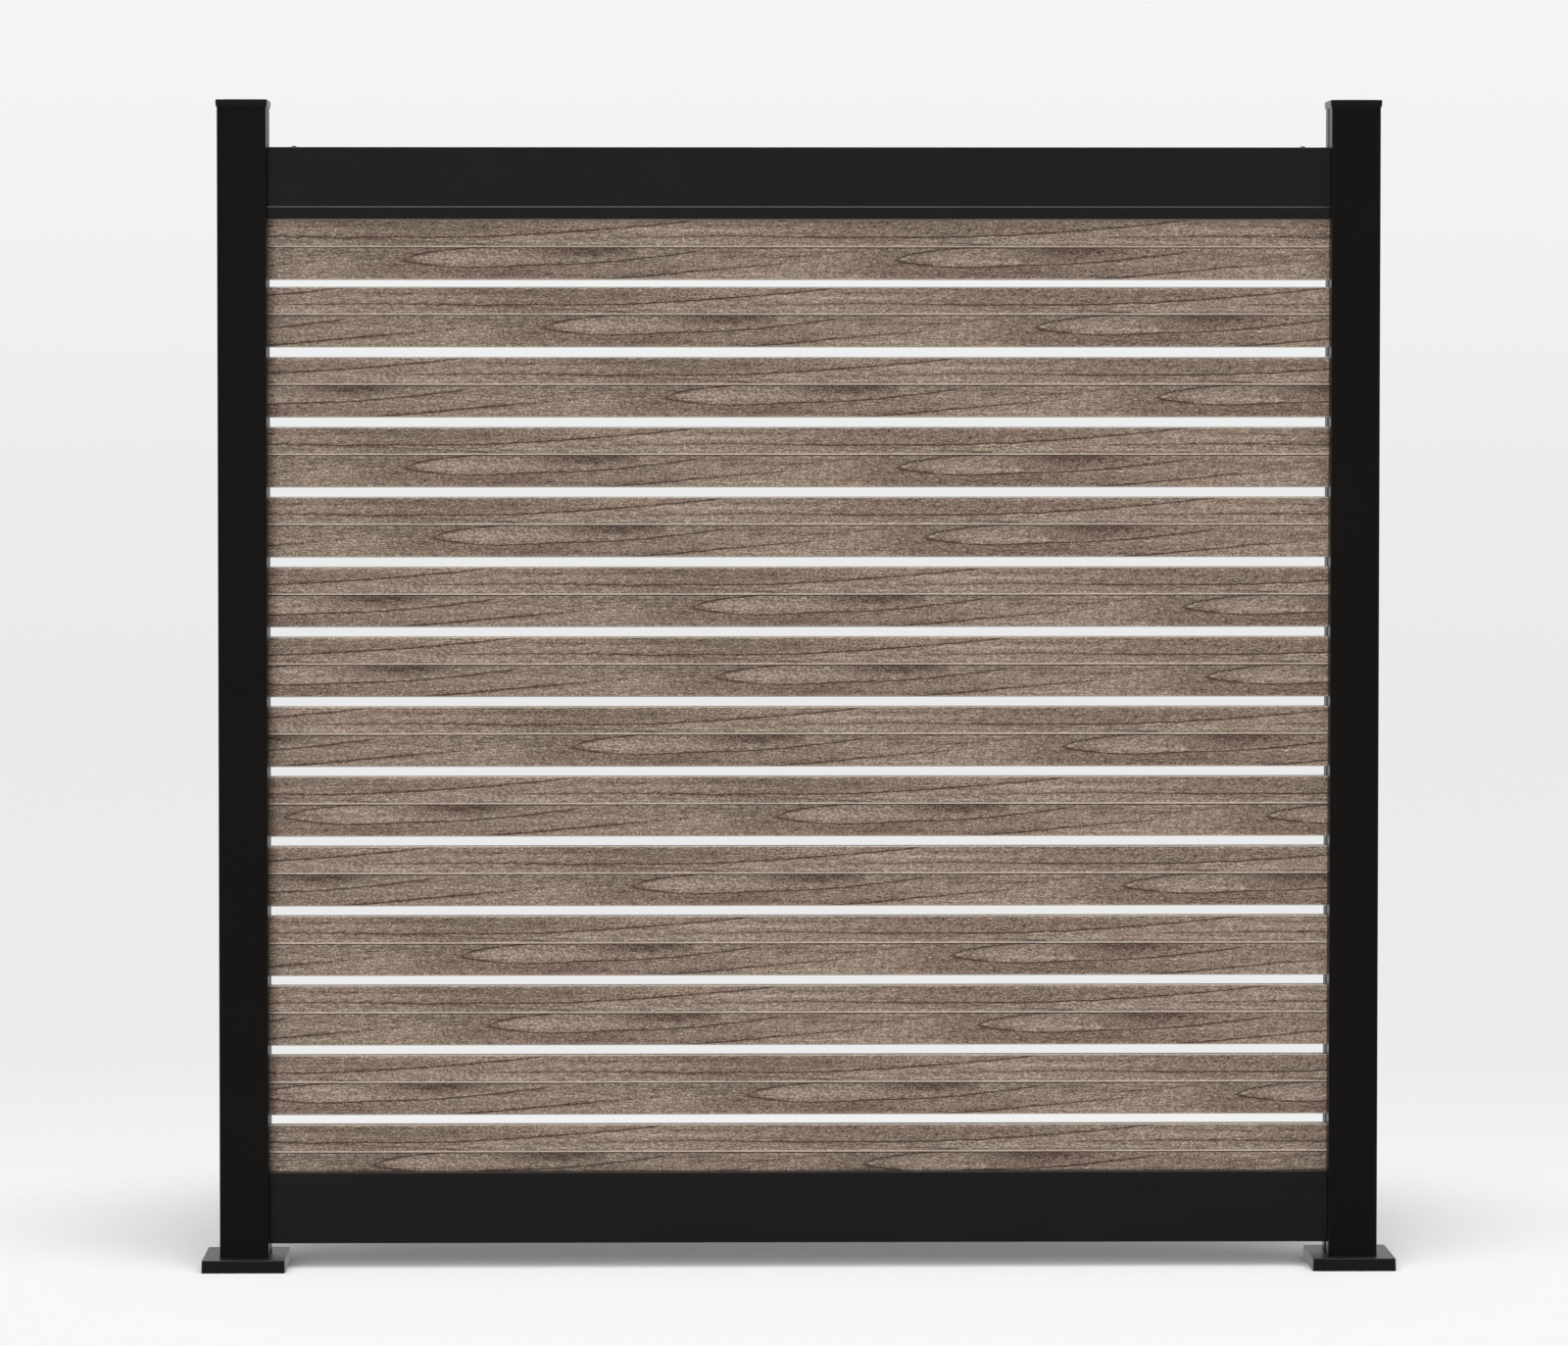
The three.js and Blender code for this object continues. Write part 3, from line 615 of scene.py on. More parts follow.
# %% [markdown]
# ## Sections
# Posts, rails, slats and clips are all extrusions: one section drawn out in a straight line. A section here
# is a list of points, each with a mark from 0 to 1 that says how exposed its edge is. The coats turn a high
# mark into edge wear with a painted edge highlight. The slats turn it into a painted highlight on the
# rounded edges and the raised line, and turn a negative mark on the raised line's ledge into painted shade.
# Corners are arcs, and only the middle of an arc is marked, so that the flats between two arcs stay
# unmarked.

# %% Points of a section
ARC_STEPS = 6
SLOT_WIDTH = 18.6  # of the slots that the slats stand in


def arc(middle_x, middle_y, radius, start, end, steps=ARC_STEPS):
    """Points (x, y, edge) from one angle to the other, in degrees."""
    points = []
    for step in range(steps + 1):
        share = step / steps
        angle = math.radians(start + (end - start) * share)
        edge = math.sin(math.pi * share)
        points.append((middle_x + radius * math.cos(angle), middle_y + radius * math.sin(angle), edge))
    return points


def both_sides(half):
    """A closed section from its right half, which doesn't touch the mirror line."""
    return half + [(-x, y, *marks) for x, y, *marks in reversed(half)]


def slotted_section(width, height, radius, slot_depth, lip_radius, band_height=0.0, band_proud=0.0):
    """A box section, from the middle of its bottom, with a slot in its top and a proud band beside it."""
    side = width / 2
    half = arc(side - radius, radius, radius, -90, 0)
    if band_proud:
        step = height - band_height
        # The band's sloping edge is marked, so the rail's coat paints its edge wear and edge highlight
        # there.
        half += [(side, step - band_proud - 0.3, 0.0), (side + band_proud / 2, step - band_proud / 2, 1.0)]
        half += [(side + band_proud, step + 0.3, 0.0)]
    half += arc(side + band_proud - lip_radius, height - lip_radius, lip_radius, 0, 90)
    lip = 0.5
    half += arc(SLOT_WIDTH / 2 + lip, height - lip, lip, 90, 180, 3)
    half += [(SLOT_WIDTH / 2, height - slot_depth, 0.0)]
    return both_sides(half)


def held(points, extra, near=0.35):
    """Adds a point close to both ends of each long flat, so that shading and marks stay at the corners."""
    held_points, held_extra = [], []
    for k, here in enumerate(points):
        after = (k + 1) % len(points)
        there = points[after]
        length = math.dist(here[:2], there[:2])
        held_points.append(here)
        held_extra.append(extra[k])
        if length > 3.0:
            for share in (near / length, 1 - near / length):
                held_points.append(tuple(a + share * (b - a) for a, b in zip(here[:2], there[:2])) + (0.0,))
                held_extra.append(extra[k] + share * (extra[after] - extra[k]))
    return held_points, held_extra


# %% Draw out a section
def add_object(name, data):
    added = bpy.data.objects.new(name, data)
    bpy.context.scene.collection.objects.link(added)
    return added


def section_face(name, points, origin, first_axis, second_axis, extra=None):
    """A mesh with the section as its one face, in metres. origin and the axes place it in the screen."""
    mesh = bpy.data.meshes.new(name)
    places = [
        Vector(origin) + MM * (x * Vector(first_axis) + y * Vector(second_axis)) for x, y, *_ in points
    ]
    mesh.from_pydata(places, [], [list(range(len(places)))])
    edge = mesh.attributes.new("edge", "FLOAT", "POINT")
    edge.data.foreach_set("value", [mark[2] for mark in points])
    if extra:
        across = mesh.attributes.new("print_across", "FLOAT", "POINT")
        across.data.foreach_set("value", extra)
    return add_object(name, mesh)


# %% [markdown]
# The tree that draws a section out is short: it extrudes the face by a vector, keeps a turned copy of the
# first face as the other end, and welds the three. It also stores how far along the print each point lies,
# for the slats. Its inputs are named, so the same tree makes every straight bar of the screen.


# %% The drawing-out tree
WELD = 0.01 * MM


def closed_bar(tree, section, travel):
    feeds = {"Mesh": section, "Offset": travel, "Offset Scale": 1.0, "Individual": False}
    body = put(tree, "GeometryNodeExtrudeMesh", feeds).outputs["Mesh"]
    first_end = put(tree, "GeometryNodeFlipFaces", {"Mesh": section}).outputs[0]
    joined = put(tree, "GeometryNodeJoinGeometry")
    tree.links.new(body, joined.inputs[0])
    tree.links.new(first_end, joined.inputs[0])
    return put(tree, "GeometryNodeMergeByDistance", {0: joined.outputs[0], "Distance": WELD}).outputs[0]


def dress(tree, geometry, finish, out, title):
    """The end of every geometry tree: real geometry with its finish."""
    real = put(tree, "GeometryNodeRealizeInstances", {"Geometry": geometry}).outputs[0]
    dressed = put(tree, "GeometryNodeSetMaterial", {"Geometry": real, "Material": finish}).outputs[0]
    finish_group(tree, out, {title: dressed})


def drawn_out_tree():
    kinds = {"Section": "Geometry", "Travel": "Vector", "Print shift": 0.0, "Finish": "Material"}
    tree, given, out = new_group("draw_out_section", "GeometryNodeTree", kinds, ["Bar"], "Geometry")
    bar = closed_bar(tree, given["Section"], given["Travel"])
    where = put(tree, "GeometryNodeInputPosition").outputs[0]
    along = put(tree, "ShaderNodeSeparateXYZ", {0: where}).outputs["X"]
    millimetres = calculate(tree, "MULTIPLY_ADD", along, 1 / MM, given["Print shift"])
    feeds = {"Geometry": bar, "Name": "print_along", "Value": millimetres}
    marked = put(tree, "GeometryNodeStoreNamedAttribute", feeds, data_type="FLOAT", domain="POINT")
    dress(tree, marked.outputs[0], given["Finish"], out, "Bar")
    return tree


draw_out = drawn_out_tree()


def add_tree(piece, tree, values):
    """Puts a geometry tree on a piece and sets its named inputs by their identifiers."""
    modifier = piece.modifiers.new(tree.name, "NODES")
    modifier.node_group = tree
    for item in tree.interface.items_tree:
        if item.item_type == "SOCKET" and item.in_out == "INPUT" and item.name in values:
            modifier[item.identifier] = values[item.name]


def made_real(source, name, smooth_below=32):
    """The evaluated result as a plain mesh of its own, smooth except at edges sharper than the angle."""
    graph = bpy.context.evaluated_depsgraph_get()
    mesh = bpy.data.meshes.new_from_object(source.evaluated_get(graph), depsgraph=graph)
    bpy.data.objects.remove(source)
    mesh.name = name
    piece = add_object(name, mesh)
    mesh.shade_smooth()
    mesh.set_sharp_from_angle(angle=math.radians(smooth_below))
    return piece


def straight_bar(name, points, origin, axes, travel, finish, nodes, shift=0.0, extra=None):
    """One extruded piece. It stands for its CAD nodes and rides on the screen's one body."""
    first, second = (Vector(axis) for axis in axes)
    turned = first.cross(second).dot(Vector(travel)) < 0
    points, extra = held(points, extra or [0.0] * len(points))
    if turned:
        points = points[::-1]
        extra = extra[::-1]
    source = section_face(name + "_section", points, origin, first, second, extra)
    add_tree(source, draw_out, {"Travel": travel, "Print shift": shift, "Finish": finish})
    piece = made_real(source, name)
    stand_for(piece, nodes)
    return piece


def stand_for(piece, nodes):
    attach(piece, "root")
    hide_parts(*nodes)
    print(f"{piece.name}: {len(piece.data.polygons)} faces, stands for {len(nodes)} node(s)")


# %% [markdown]
# ## Slats
# A slat is hollow on the real screen, but its open ends are inside the posts, so a closed bar shows the
# same. Its section has rounded corners and one raised line on each face: a longer flank that faces up and
# catches the light, and a short one that faces down and stays dark. The finish also paints a highlight on
# that flank and painted shade on the ledge below it.

# %% The slat's section
LINE_FROM_TOP = 43.4
LINE_PROUD = 0.9
LINE_SLOPE = 1.9
LINE_LEDGE = 1.1
SLAT_EDGE_RADIUS = 2.4
PRINT_TURN = 0.6  # where the print starts round the top edge
slat_height_mm = slat_height / MM
slat_face = (slat_high[1] - slat_low[1]) / MM / 2 - LINE_PROUD  # from the middle to the flat of a face


def slat_half_section():
    """From the top to the bottom, right of the mirror line, standing on zero."""
    crest = slat_height_mm - LINE_FROM_TOP
    radius = SLAT_EDGE_RADIUS
    half = [(0.4, slat_height_mm, 0.0)]
    half += arc(slat_face - radius, slat_height_mm - radius, radius, 90, 0)
    # The flank and crest are marked for a painted highlight, the ledge and the face just below it for
    # painted shade.
    half += [(slat_face, crest + LINE_SLOPE, 0.7), (slat_face + LINE_PROUD - 0.12, crest + 0.25, 1.0)]
    half += [(slat_face + LINE_PROUD, crest, 1.0), (slat_face + LINE_PROUD - 0.1, crest - 0.15, 0.0)]
    half += [(slat_face, crest - LINE_LEDGE, -1.0), (slat_face, crest - LINE_LEDGE - 0.5, -0.9)]
    half += [(slat_face, crest - LINE_LEDGE - 1.3, 0.0)]
    half += arc(slat_face - radius, radius, radius, 0, -90)
    half += [(0.4, 0.0, 0.0)]
    return half


def distance_round(half):
    """How far round the section each point lies, in mm. On the flat face it is the depth below the top."""
    distances = [PRINT_TURN - slat_face]
    for (x, y, _), (next_x, next_y, _) in zip(half, half[1:]):
        distances.append(distances[-1] + math.hypot(next_x - x, next_y - y))
    return distances


slat_half = slat_half_section()
slat_points = slat_half + [(-x, y, edge) for x, y, edge in reversed(slat_half)]
half_distances = distance_round(slat_half)
slat_distances = half_distances + half_distances[::-1]
print(f"{len(slat_points)} points round a slat, {half_distances[-1]:.1f} mm round its half")

# %% [markdown]
# Where each slat's print starts was read from the photograph by comparing the slats with each other. The
# values are mm along the repeat, at the slat's middle, from the top slat to the bottom one.

# %% Make the slats
PRINT_STARTS = [581, 363, 173, 579, 536, 131, 95, 319, 0, 225, 493, 451, 45, 630]
PRINT_AT_LEFT_POST = 818  # mm from the screen's middle to where the visible part of a slat starts

for number, start in enumerate(PRINT_STARTS, 1):
    node = f"slat_{number:02}"
    low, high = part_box(node)
    straight_bar(
        f"printed_slat_{number:02}",
        slat_points,
        (low[0], 0.0, low[2]),
        ((0, -1, 0), (0, 0, 1)),
        (high[0] - low[0], 0.0, 0.0),
        slat_print,
        [node],
        shift=float(start + PRINT_AT_LEFT_POST),
        extra=slat_distances,
    )

# %% [markdown]
# ## Posts
# A post is a square tube with a slot down its inner side. Its bottom stands on the plate under the cover and
# its top is inside the cap, so the ends of the bar don't show. The right post is the left one turned round.

# %% Make the posts
POST_SLOT_DEPTH = 20.0
POST_CORNER_RADIUS = 1.6
post_width = post_side / MM
post_section = slotted_section(
    post_width, post_width, POST_CORNER_RADIUS, POST_SLOT_DEPTH, POST_CORNER_RADIUS
)

for side in SIDES:
    low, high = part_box(f"post_{side}")
    straight_bar(
        f"coated_post_{side}",
        post_section,
        (low[0] if side == "left" else high[0], 0.0, low[2]),
        ((0, 1, 0), (INWARD[side], 0, 0)),
        (0.0, 0.0, high[2] - low[2]),
        post_coat,
        [f"post_{side}"],
    )

# %% [markdown]
# ## Rails
# The two rails are one section. The bottom rail has its slot and its proud band at the top, and the top
# rail is turned over, so both bands lie beside the slats. The band's sloping edge is what shows as a thin
# bright line on the top rail.

# %% Make the rails
RAIL_DEPTH = 50.8
RAIL_CORNER_RADIUS = 2.2
RAIL_SLOT_DEPTH = 21.5
RAIL_BAND_HEIGHT = 17.5
RAIL_BAND_PROUD = 1.3
RAIL_LIP_RADIUS = 1.0
rail_section = slotted_section(
    RAIL_DEPTH,
    rail_height / MM,
    RAIL_CORNER_RADIUS,
    RAIL_SLOT_DEPTH,
    RAIL_LIP_RADIUS,
    RAIL_BAND_HEIGHT,
    RAIL_BAND_PROUD,
)

for node, upward in (("bottom_rail", 1), ("top_rail", -1)):
    low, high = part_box(node)
    straight_bar(
        f"coated_{node}",
        rail_section,
        (low[0], 0.0, low[2] if upward > 0 else high[2]),
        ((0, 1, 0), (0, 0, upward)),
        (high[0] - low[0], 0.0, 0.0),
        rail_coat,
        [node],
    )

# %% [markdown]
# ## Clips in the post slots
# Above the top rail a long clip closes the slot of each post. Between the slats short lengths of the same
# clip keep the slats apart. The short ones repeat, so one tree makes all of a post's spacers: it draws the
# section out, sets a copy on each point of an upright line, and makes the topmost one shorter.

# %% The clip's section
CLIP_FACE = 1.8
CLIP_LEG = 2.0
CLIP_LEG_INSET = 1.0
CLIP_FOOT = 2.0
CLIP_EDGE_RADIUS = 0.7
clip_low, clip_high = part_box("spacer_left_02")
clip_side = (clip_high[1] - clip_low[1]) / MM / 2
clip_depth = (clip_high[0] - clip_low[0]) / MM


def clip_section():
    """From the clip's back at zero to its face."""
    leg_outer = clip_side - CLIP_LEG_INSET
    leg_inner = leg_outer - CLIP_LEG
    shoulder = clip_depth - CLIP_FACE
    half = [(leg_inner, shoulder, 0.0), (leg_inner, 0.0, 0.0), (clip_side, 0.0, 0.3)]
    half += [(clip_side, CLIP_FOOT, 0.3), (leg_outer, CLIP_FOOT, 0.0), (leg_outer, shoulder, 0.0)]
    half += [(clip_side, shoulder, 0.3)]
    half += arc(clip_side - CLIP_EDGE_RADIUS, clip_depth - CLIP_EDGE_RADIUS, CLIP_EDGE_RADIUS, 0, 90, 4)
    return both_sides(half)


clip_points = clip_section()


def clip_place(side, level):
    """The clip's back, from which its face points at the middle of the screen."""
    low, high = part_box(f"spacer_{side}_02")
    return (low[0] if side == "left" else high[0], 0.0, level)


for side in SIDES:
    low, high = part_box(f"slot_infill_{side}")
    straight_bar(
        f"moulded_infill_{side}",
        clip_points,
        clip_place(side, low[2]),
        ((0, 1, 0), (INWARD[side], 0, 0)),
        (0.0, 0.0, high[2] - low[2]),
        clip_plastic,
        [f"slot_infill_{side}"],
    )


# %% The spacer tree
def spacer_stack_tree():
    kinds = {"Section": "Geometry", "Height": 0.015, "Top share": 0.75}
    kinds |= {"Count": "Int", "Pitch": 0.109, "Finish": "Material"}
    tree, given, out = new_group("spacer_stack", "GeometryNodeTree", kinds, ["Spacers"], "Geometry")
    rise = put(tree, "ShaderNodeCombineXYZ", {"Z": given["Height"]}).outputs[0]
    spacer = closed_bar(tree, given["Section"], rise)
    step = put(tree, "ShaderNodeCombineXYZ", {"Z": given["Pitch"]}).outputs[0]
    ladder = put(tree, "GeometryNodeMeshLine", {"Count": given["Count"], "Offset": step}).outputs[0]
    last = calculate(tree, "SUBTRACT", given["Count"], 1.0)
    number = put(tree, "GeometryNodeInputIndex").outputs[0]
    topmost = calculate(tree, "COMPARE", number, last, 0.1)
    shorter = calculate(tree, "SUBTRACT", given["Top share"], 1.0)
    tall = calculate(tree, "MULTIPLY_ADD", topmost, shorter, 1.0)
    scale = put(tree, "ShaderNodeCombineXYZ", {"X": 1.0, "Y": 1.0, "Z": tall}).outputs[0]
    feeds = {"Points": ladder, "Instance": spacer, "Scale": scale}
    copies = put(tree, "GeometryNodeInstanceOnPoints", feeds).outputs[0]
    dress(tree, copies, given["Finish"], out, "Spacers")
    return tree


spacer_stack = spacer_stack_tree()

# %% [markdown]
# An instance is set with its own origin on its point. The section is therefore drawn about the origin's
# height, and the made mesh is moved up to the lowest spacer afterwards, in its vertices, so that the
# finished object itself stays at the origin.

# %% Make the spacers
for side in SIDES:
    names = [f"spacer_{side}_{number:02}" for number in range(SLAT_COUNT - 1, 0, -1)]
    bases = [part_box(name)[0][2] for name in names]
    heights = [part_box(name)[1][2] - base for name, base in zip(names, bases)]
    facing = (INWARD[side], 0, 0)
    points = clip_points[:: -INWARD[side]]
    source = section_face(f"spacer_section_{side}", points, clip_place(side, 0.0), (0, 1, 0), facing)
    sizes = {"Height": heights[0], "Top share": heights[-1] / heights[0], "Pitch": bases[1] - bases[0]}
    add_tree(source, spacer_stack, sizes | {"Count": len(names), "Finish": clip_plastic})
    spacers = made_real(source, f"moulded_spacers_{side}")
    for vertex in spacers.data.vertices:
        vertex.co.z += bases[0]
    stand_for(spacers, names)

# %% [markdown]
# ## Turned and moulded pieces
# Caps, covers and screws are lofts: rings of points at several heights, joined by quads. A ring is a
# rounded square or, for the screws, a circle that turns into the hexagon of the socket. All the rings of
# one loft have the same number of points, so neighbours can simply be joined point by point.


# %% Rings and lofts
def square_ring(side, radius, level, edge, steps=6):
    """A rounded square, with its corner arcs marked as edges and its flats held by a point at each end."""
    middle = side / 2 - radius
    hold = min(0.4, 0.3 * middle)
    ring = []
    for quarter, (x, y) in enumerate(((1, 1), (-1, 1), (-1, -1), (1, -1))):
        corner = arc(x * middle, y * middle, radius, 90 * quarter, 90 * quarter + 90, steps)
        (first_x, first_y, _), (last_x, last_y, _) = corner[0], corner[-1]
        turn = math.radians(90 * quarter)
        ring.append((first_x + hold * math.sin(turn), first_y - hold * math.cos(turn), level, edge))
        ring += [(px, py, level, max(edge, 0.7 * mark)) for px, py, mark in corner]
        ring.append((last_x - hold * math.cos(turn), last_y - hold * math.sin(turn), level, edge))
    return ring


def round_ring(radius, level, edge, count=24):
    angles = [2 * math.pi * step / count for step in range(count)]
    return [(radius * math.cos(a), radius * math.sin(a), level, edge) for a in angles]


def hexagon_ring(across_flats, level, edge, count=24):
    ring = []
    for step in range(count):
        angle = 2 * math.pi * step / count
        off_flat = (angle + math.pi / 6) % (math.pi / 3) - math.pi / 6
        radius = across_flats / 2 / math.cos(off_flat)
        ring.append((radius * math.cos(angle), radius * math.sin(angle), level, edge))
    return ring


def loft(name, rings, closed_loop=False):
    """A solid through the rings, in metres. Its ends are filled, or its last ring joins its first."""
    mesh = bpy.data.meshes.new(name)
    shape = bmesh.new()
    layer = shape.verts.layers.float.new("edge")
    rows = []
    for ring in rings:
        row = []
        for x, y, z, edge in ring:
            vertex = shape.verts.new((x * MM, y * MM, z * MM))
            vertex[layer] = edge
            row.append(vertex)
        rows.append(row)
    pairs = list(zip(rows, rows[1:]))
    if closed_loop:
        pairs.append((rows[-1], rows[0]))
    for lower, upper in pairs:
        for k in range(len(lower)):
            after = (k + 1) % len(lower)
            shape.faces.new((lower[k], lower[after], upper[after], upper[k]))
    if not closed_loop:
        shape.faces.new(rows[0][::-1])
        shape.faces.new(rows[-1])
    bmesh.ops.recalc_face_normals(shape, faces=shape.faces)
    shape.to_mesh(mesh)
    shape.free()
    return add_object(name, mesh)


def settle(piece, move, finish, smooth_below=32):
    """Moves a lofted piece in its vertices, smooths it and gives it its finish."""
    for vertex in piece.data.vertices:
        vertex.co += Vector(move)
    piece.data.materials.append(finish)
    piece.data.shade_smooth()
    piece.data.set_sharp_from_angle(angle=math.radians(smooth_below))
    return piece


# %% [markdown]
# ## Caps
# A cap is a thin moulded lid that slips over the post's end. It has a short skirt that draws in to the post
# at its lower edge, a rounded upper edge and a low crown. The loft runs from the hidden inside, out under
# the skirt, up its outside and over the crown.

# %% Make the caps
CAP_CORNER = 3.3
CAP_EDGE = 1.6
CAP_SKIRT = 9.5
CAP_TAPER = 1.4
CAP_PLATE = 2.5
CAP_CROWN = 1.5
CAP_SIDE_FIT = 0.2
CROWN_RINGS = 10
cap_low, cap_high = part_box("post_cap_left")
cap_side = (cap_high[0] - cap_low[0]) / MM


def rounded_edge(side, corner, level, bend, tighter):
    """Rings round an upper edge that bends inwards from level up, with tighter corners as it goes."""
    radius = bend[0][0]
    rings = []
    for _, rise, edge in bend[1:]:
        inset = radius - math.sqrt(max(radius**2 - rise**2, 0))
        rings.append(square_ring(side - 2 * inset, corner - tighter * inset, level + rise, edge))
    return rings


def cap_rings():
    inside = post_width + 2 * CAP_SIDE_FIT
    rings = [
        square_ring(inside - 4, 1.0, 0.0, 0.0),
        square_ring(inside, 1.8, 0.0, 0.0),
        square_ring(inside, 1.8, -CAP_SKIRT, 0.0),
        square_ring(cap_side - 2 * CAP_TAPER, 2.0, -CAP_SKIRT, 0.4),
        square_ring(cap_side - 0.3, 3.2, -CAP_SKIRT + 3.6, 0.5),
        square_ring(cap_side, CAP_CORNER, -CAP_SKIRT + 4.4, 0.0),
        square_ring(cap_side, CAP_CORNER, CAP_PLATE - CAP_EDGE, 0.0),
        *rounded_edge(cap_side, CAP_CORNER, CAP_PLATE - CAP_EDGE, arc(0, 0, CAP_EDGE, 0, 75, 4), 0.4),
    ]
    shoulder = cap_side - 5
    for step in range(CROWN_RINGS):
        share = 1 - step / CROWN_RINGS
        level = CAP_PLATE + CAP_CROWN * (1 - share**2)
        rings.append(square_ring(shoulder * share, max(2.8 * share, 0.05), level, 0.0))
    return rings


for side in SIDES:
    cap = settle(loft(f"moulded_cap_{side}", cap_rings()), (post_x[side], 0, post_high[2]), cap_plastic, 40)
    stand_for(cap, [f"post_cap_{side}"])

# %% [markdown]
# ## Foot covers
# The cover is a square moulded tray, upside down, that hides the plate and its bolts. Its wall draws in very
# slightly towards the top, its upper edge is rounded, and its collar leaves a fine gap round the post.

# %% Make the foot covers
COVER_WALL = 2.0
COVER_DRAFT = 0.5
COVER_EDGE = 1.4
COVER_COLLAR_FIT = 0.4
COVER_CORNER = 3.0
cover_low, cover_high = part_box("base_cover_left")
cover_side = (cover_high[0] - cover_low[0]) / MM
cover_height = (cover_high[2] - cover_low[2]) / MM


def cover_rings():
    collar = post_width + 2 * COVER_COLLAR_FIT
    narrow = cover_side - 2 * COVER_DRAFT
    edge_level = cover_height - COVER_EDGE
    return [
        square_ring(cover_side - 2 * COVER_WALL, COVER_CORNER - 1, 0.0, 0.0),
        square_ring(cover_side - 0.6, COVER_CORNER, 0.0, 0.3),
        square_ring(cover_side, COVER_CORNER, 0.4, 0.5),
        square_ring(cover_side, COVER_CORNER, 0.8, 0.0),
        square_ring(narrow, COVER_CORNER, edge_level - 0.4, 0.0),
        square_ring(narrow, COVER_CORNER, edge_level, 0.0),
        *rounded_edge(narrow, COVER_CORNER, edge_level, arc(0, 0, COVER_EDGE, 0, 90, 5), 0.5),
        square_ring(narrow - 2 * COVER_EDGE - 0.8, COVER_CORNER - 1, cover_height, 0.0),
        square_ring(collar + 1.6, 2.4, cover_height, 0.0),
        square_ring(collar + 0.8, 2.4, cover_height, 0.3),
        square_ring(collar, 2.0, cover_height - 0.4, 0.6),
        square_ring(collar, 2.0, cover_height - COVER_WALL, 0.0),
        square_ring(cover_side - 2 * COVER_WALL, COVER_CORNER - 1, cover_height - COVER_WALL, 0.0),
    ]


for side in SIDES:
    cover = settle(loft(f"moulded_cover_{side}", cover_rings(), True), (post_x[side], 0, 0), cover_plastic)
    stand_for(cover, [f"base_cover_{side}"])

# %% [markdown]
# ## Rail screws
# Four pan-head screws hold the rails to the brackets, two on top of the top rail and two under the bottom
# one. One screw is lofted, and a tree sets a copy of it on each place, turned over where it points up.

# %% The screw and its places
SCREW_LENGTH = 14.0
SCREW_SHANK = 2.1
SCREW_HEAD = 4.0
SCREW_HEAD_HEIGHT = 2.4
SCREW_RIM = 0.8  # height of the head's upright side
SCREW_TOP = 2.2  # radius of the flat on the head
SOCKET_ACROSS = 2.94
SOCKET_DEPTH = 1.3


def screw_rings():
    rings = [
        round_ring(SCREW_SHANK - 0.6, -SCREW_LENGTH, 0.0),
        round_ring(SCREW_SHANK, -SCREW_LENGTH + 0.8, 0.0),
        round_ring(SCREW_SHANK, 0.0, 0.0),
        round_ring(SCREW_HEAD, 0.0, 0.3),
        round_ring(SCREW_HEAD, SCREW_RIM, 0.8),
    ]
    for step in range(1, 5):
        angle = math.radians(22 * step)
        radius = SCREW_TOP + (SCREW_HEAD - SCREW_TOP) * math.cos(angle)
        level = SCREW_RIM + (SCREW_HEAD_HEIGHT - SCREW_RIM) * math.sin(angle)
        rings.append(round_ring(radius, level, 0.4))
    rings += [
        hexagon_ring(SOCKET_ACROSS + 0.3, SCREW_HEAD_HEIGHT, 0.8),
        hexagon_ring(SOCKET_ACROSS, SCREW_HEAD_HEIGHT - 0.2, 0.6),
        hexagon_ring(SOCKET_ACROSS, SCREW_HEAD_HEIGHT - SOCKET_DEPTH, 0.0),
    ]
    return rings


screw_nodes = [f"rail_screw_{level}_{side}" for level in ("top", "bottom") for side in SIDES]


def screw_seat(node):
    """Where the head sits on its rail, and whether the screw points down."""
    low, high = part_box(node)
    pointing_down = node.startswith("rail_screw_top")
    seat = high[2] - SCREW_HEAD_HEIGHT * MM if pointing_down else low[2] + SCREW_HEAD_HEIGHT * MM
    return ((low[0] + high[0]) / 2, 0.0, seat), pointing_down


seats = [screw_seat(node) for node in screw_nodes]
print("screw seats:", [[round(v, 4) for v in place_at] for place_at, _ in seats])


# %% Set the screws
def screw_set_tree():
    kinds = {"Seats": "Geometry", "Screw": "Object", "Finish": "Material"}
    tree, given, out = new_group("screws_on_seats", "GeometryNodeTree", kinds, ["Screws"], "Geometry")
    screw = put(tree, "GeometryNodeObjectInfo", {"Object": given["Screw"]}).outputs["Geometry"]
    mark = {"Name": "turned_over"}
    turned = put(tree, "GeometryNodeInputNamedAttribute", mark, data_type="FLOAT").outputs[0]
    half_turn = calculate(tree, "MULTIPLY", turned, math.pi)
    rotation = put(tree, "ShaderNodeCombineXYZ", {"X": half_turn}).outputs[0]
    points = put(tree, "GeometryNodeMeshToPoints", {"Mesh": given["Seats"]}).outputs[0]
    feeds = {"Points": points, "Instance": screw, "Rotation": rotation}
    copies = put(tree, "GeometryNodeInstanceOnPoints", feeds).outputs[0]
    dress(tree, copies, given["Finish"], out, "Screws")
    return tree


one_screw = loft("one_screw", screw_rings())
seat_mesh = bpy.data.meshes.new("screw_seats")
seat_mesh.from_pydata([place_at for place_at, _ in seats], [], [])
over = seat_mesh.attributes.new("turned_over", "FLOAT", "POINT")
over.data.foreach_set("value", [0.0 if pointing_down else 1.0 for _, pointing_down in seats])
seat_object = add_object("screw_seats", seat_mesh)
add_tree(seat_object, screw_set_tree(), {"Screw": one_screw, "Finish": screw_black})
screws = made_real(seat_object, "blackened_rail_screws")
bpy.data.objects.remove(one_screw)
stand_for(screws, screw_nodes)

# %% [markdown]
# ## Floor
# The floor is a plain pale plane that keeps the screen's shadow. Far from the screen it fades out, so that
# it meets the background without a line. A white floor would throw light back on the lower rail and the
# feet, and shine in their coating. The lower rail of the real one is no paler than the upper one, so both
# are switched off.

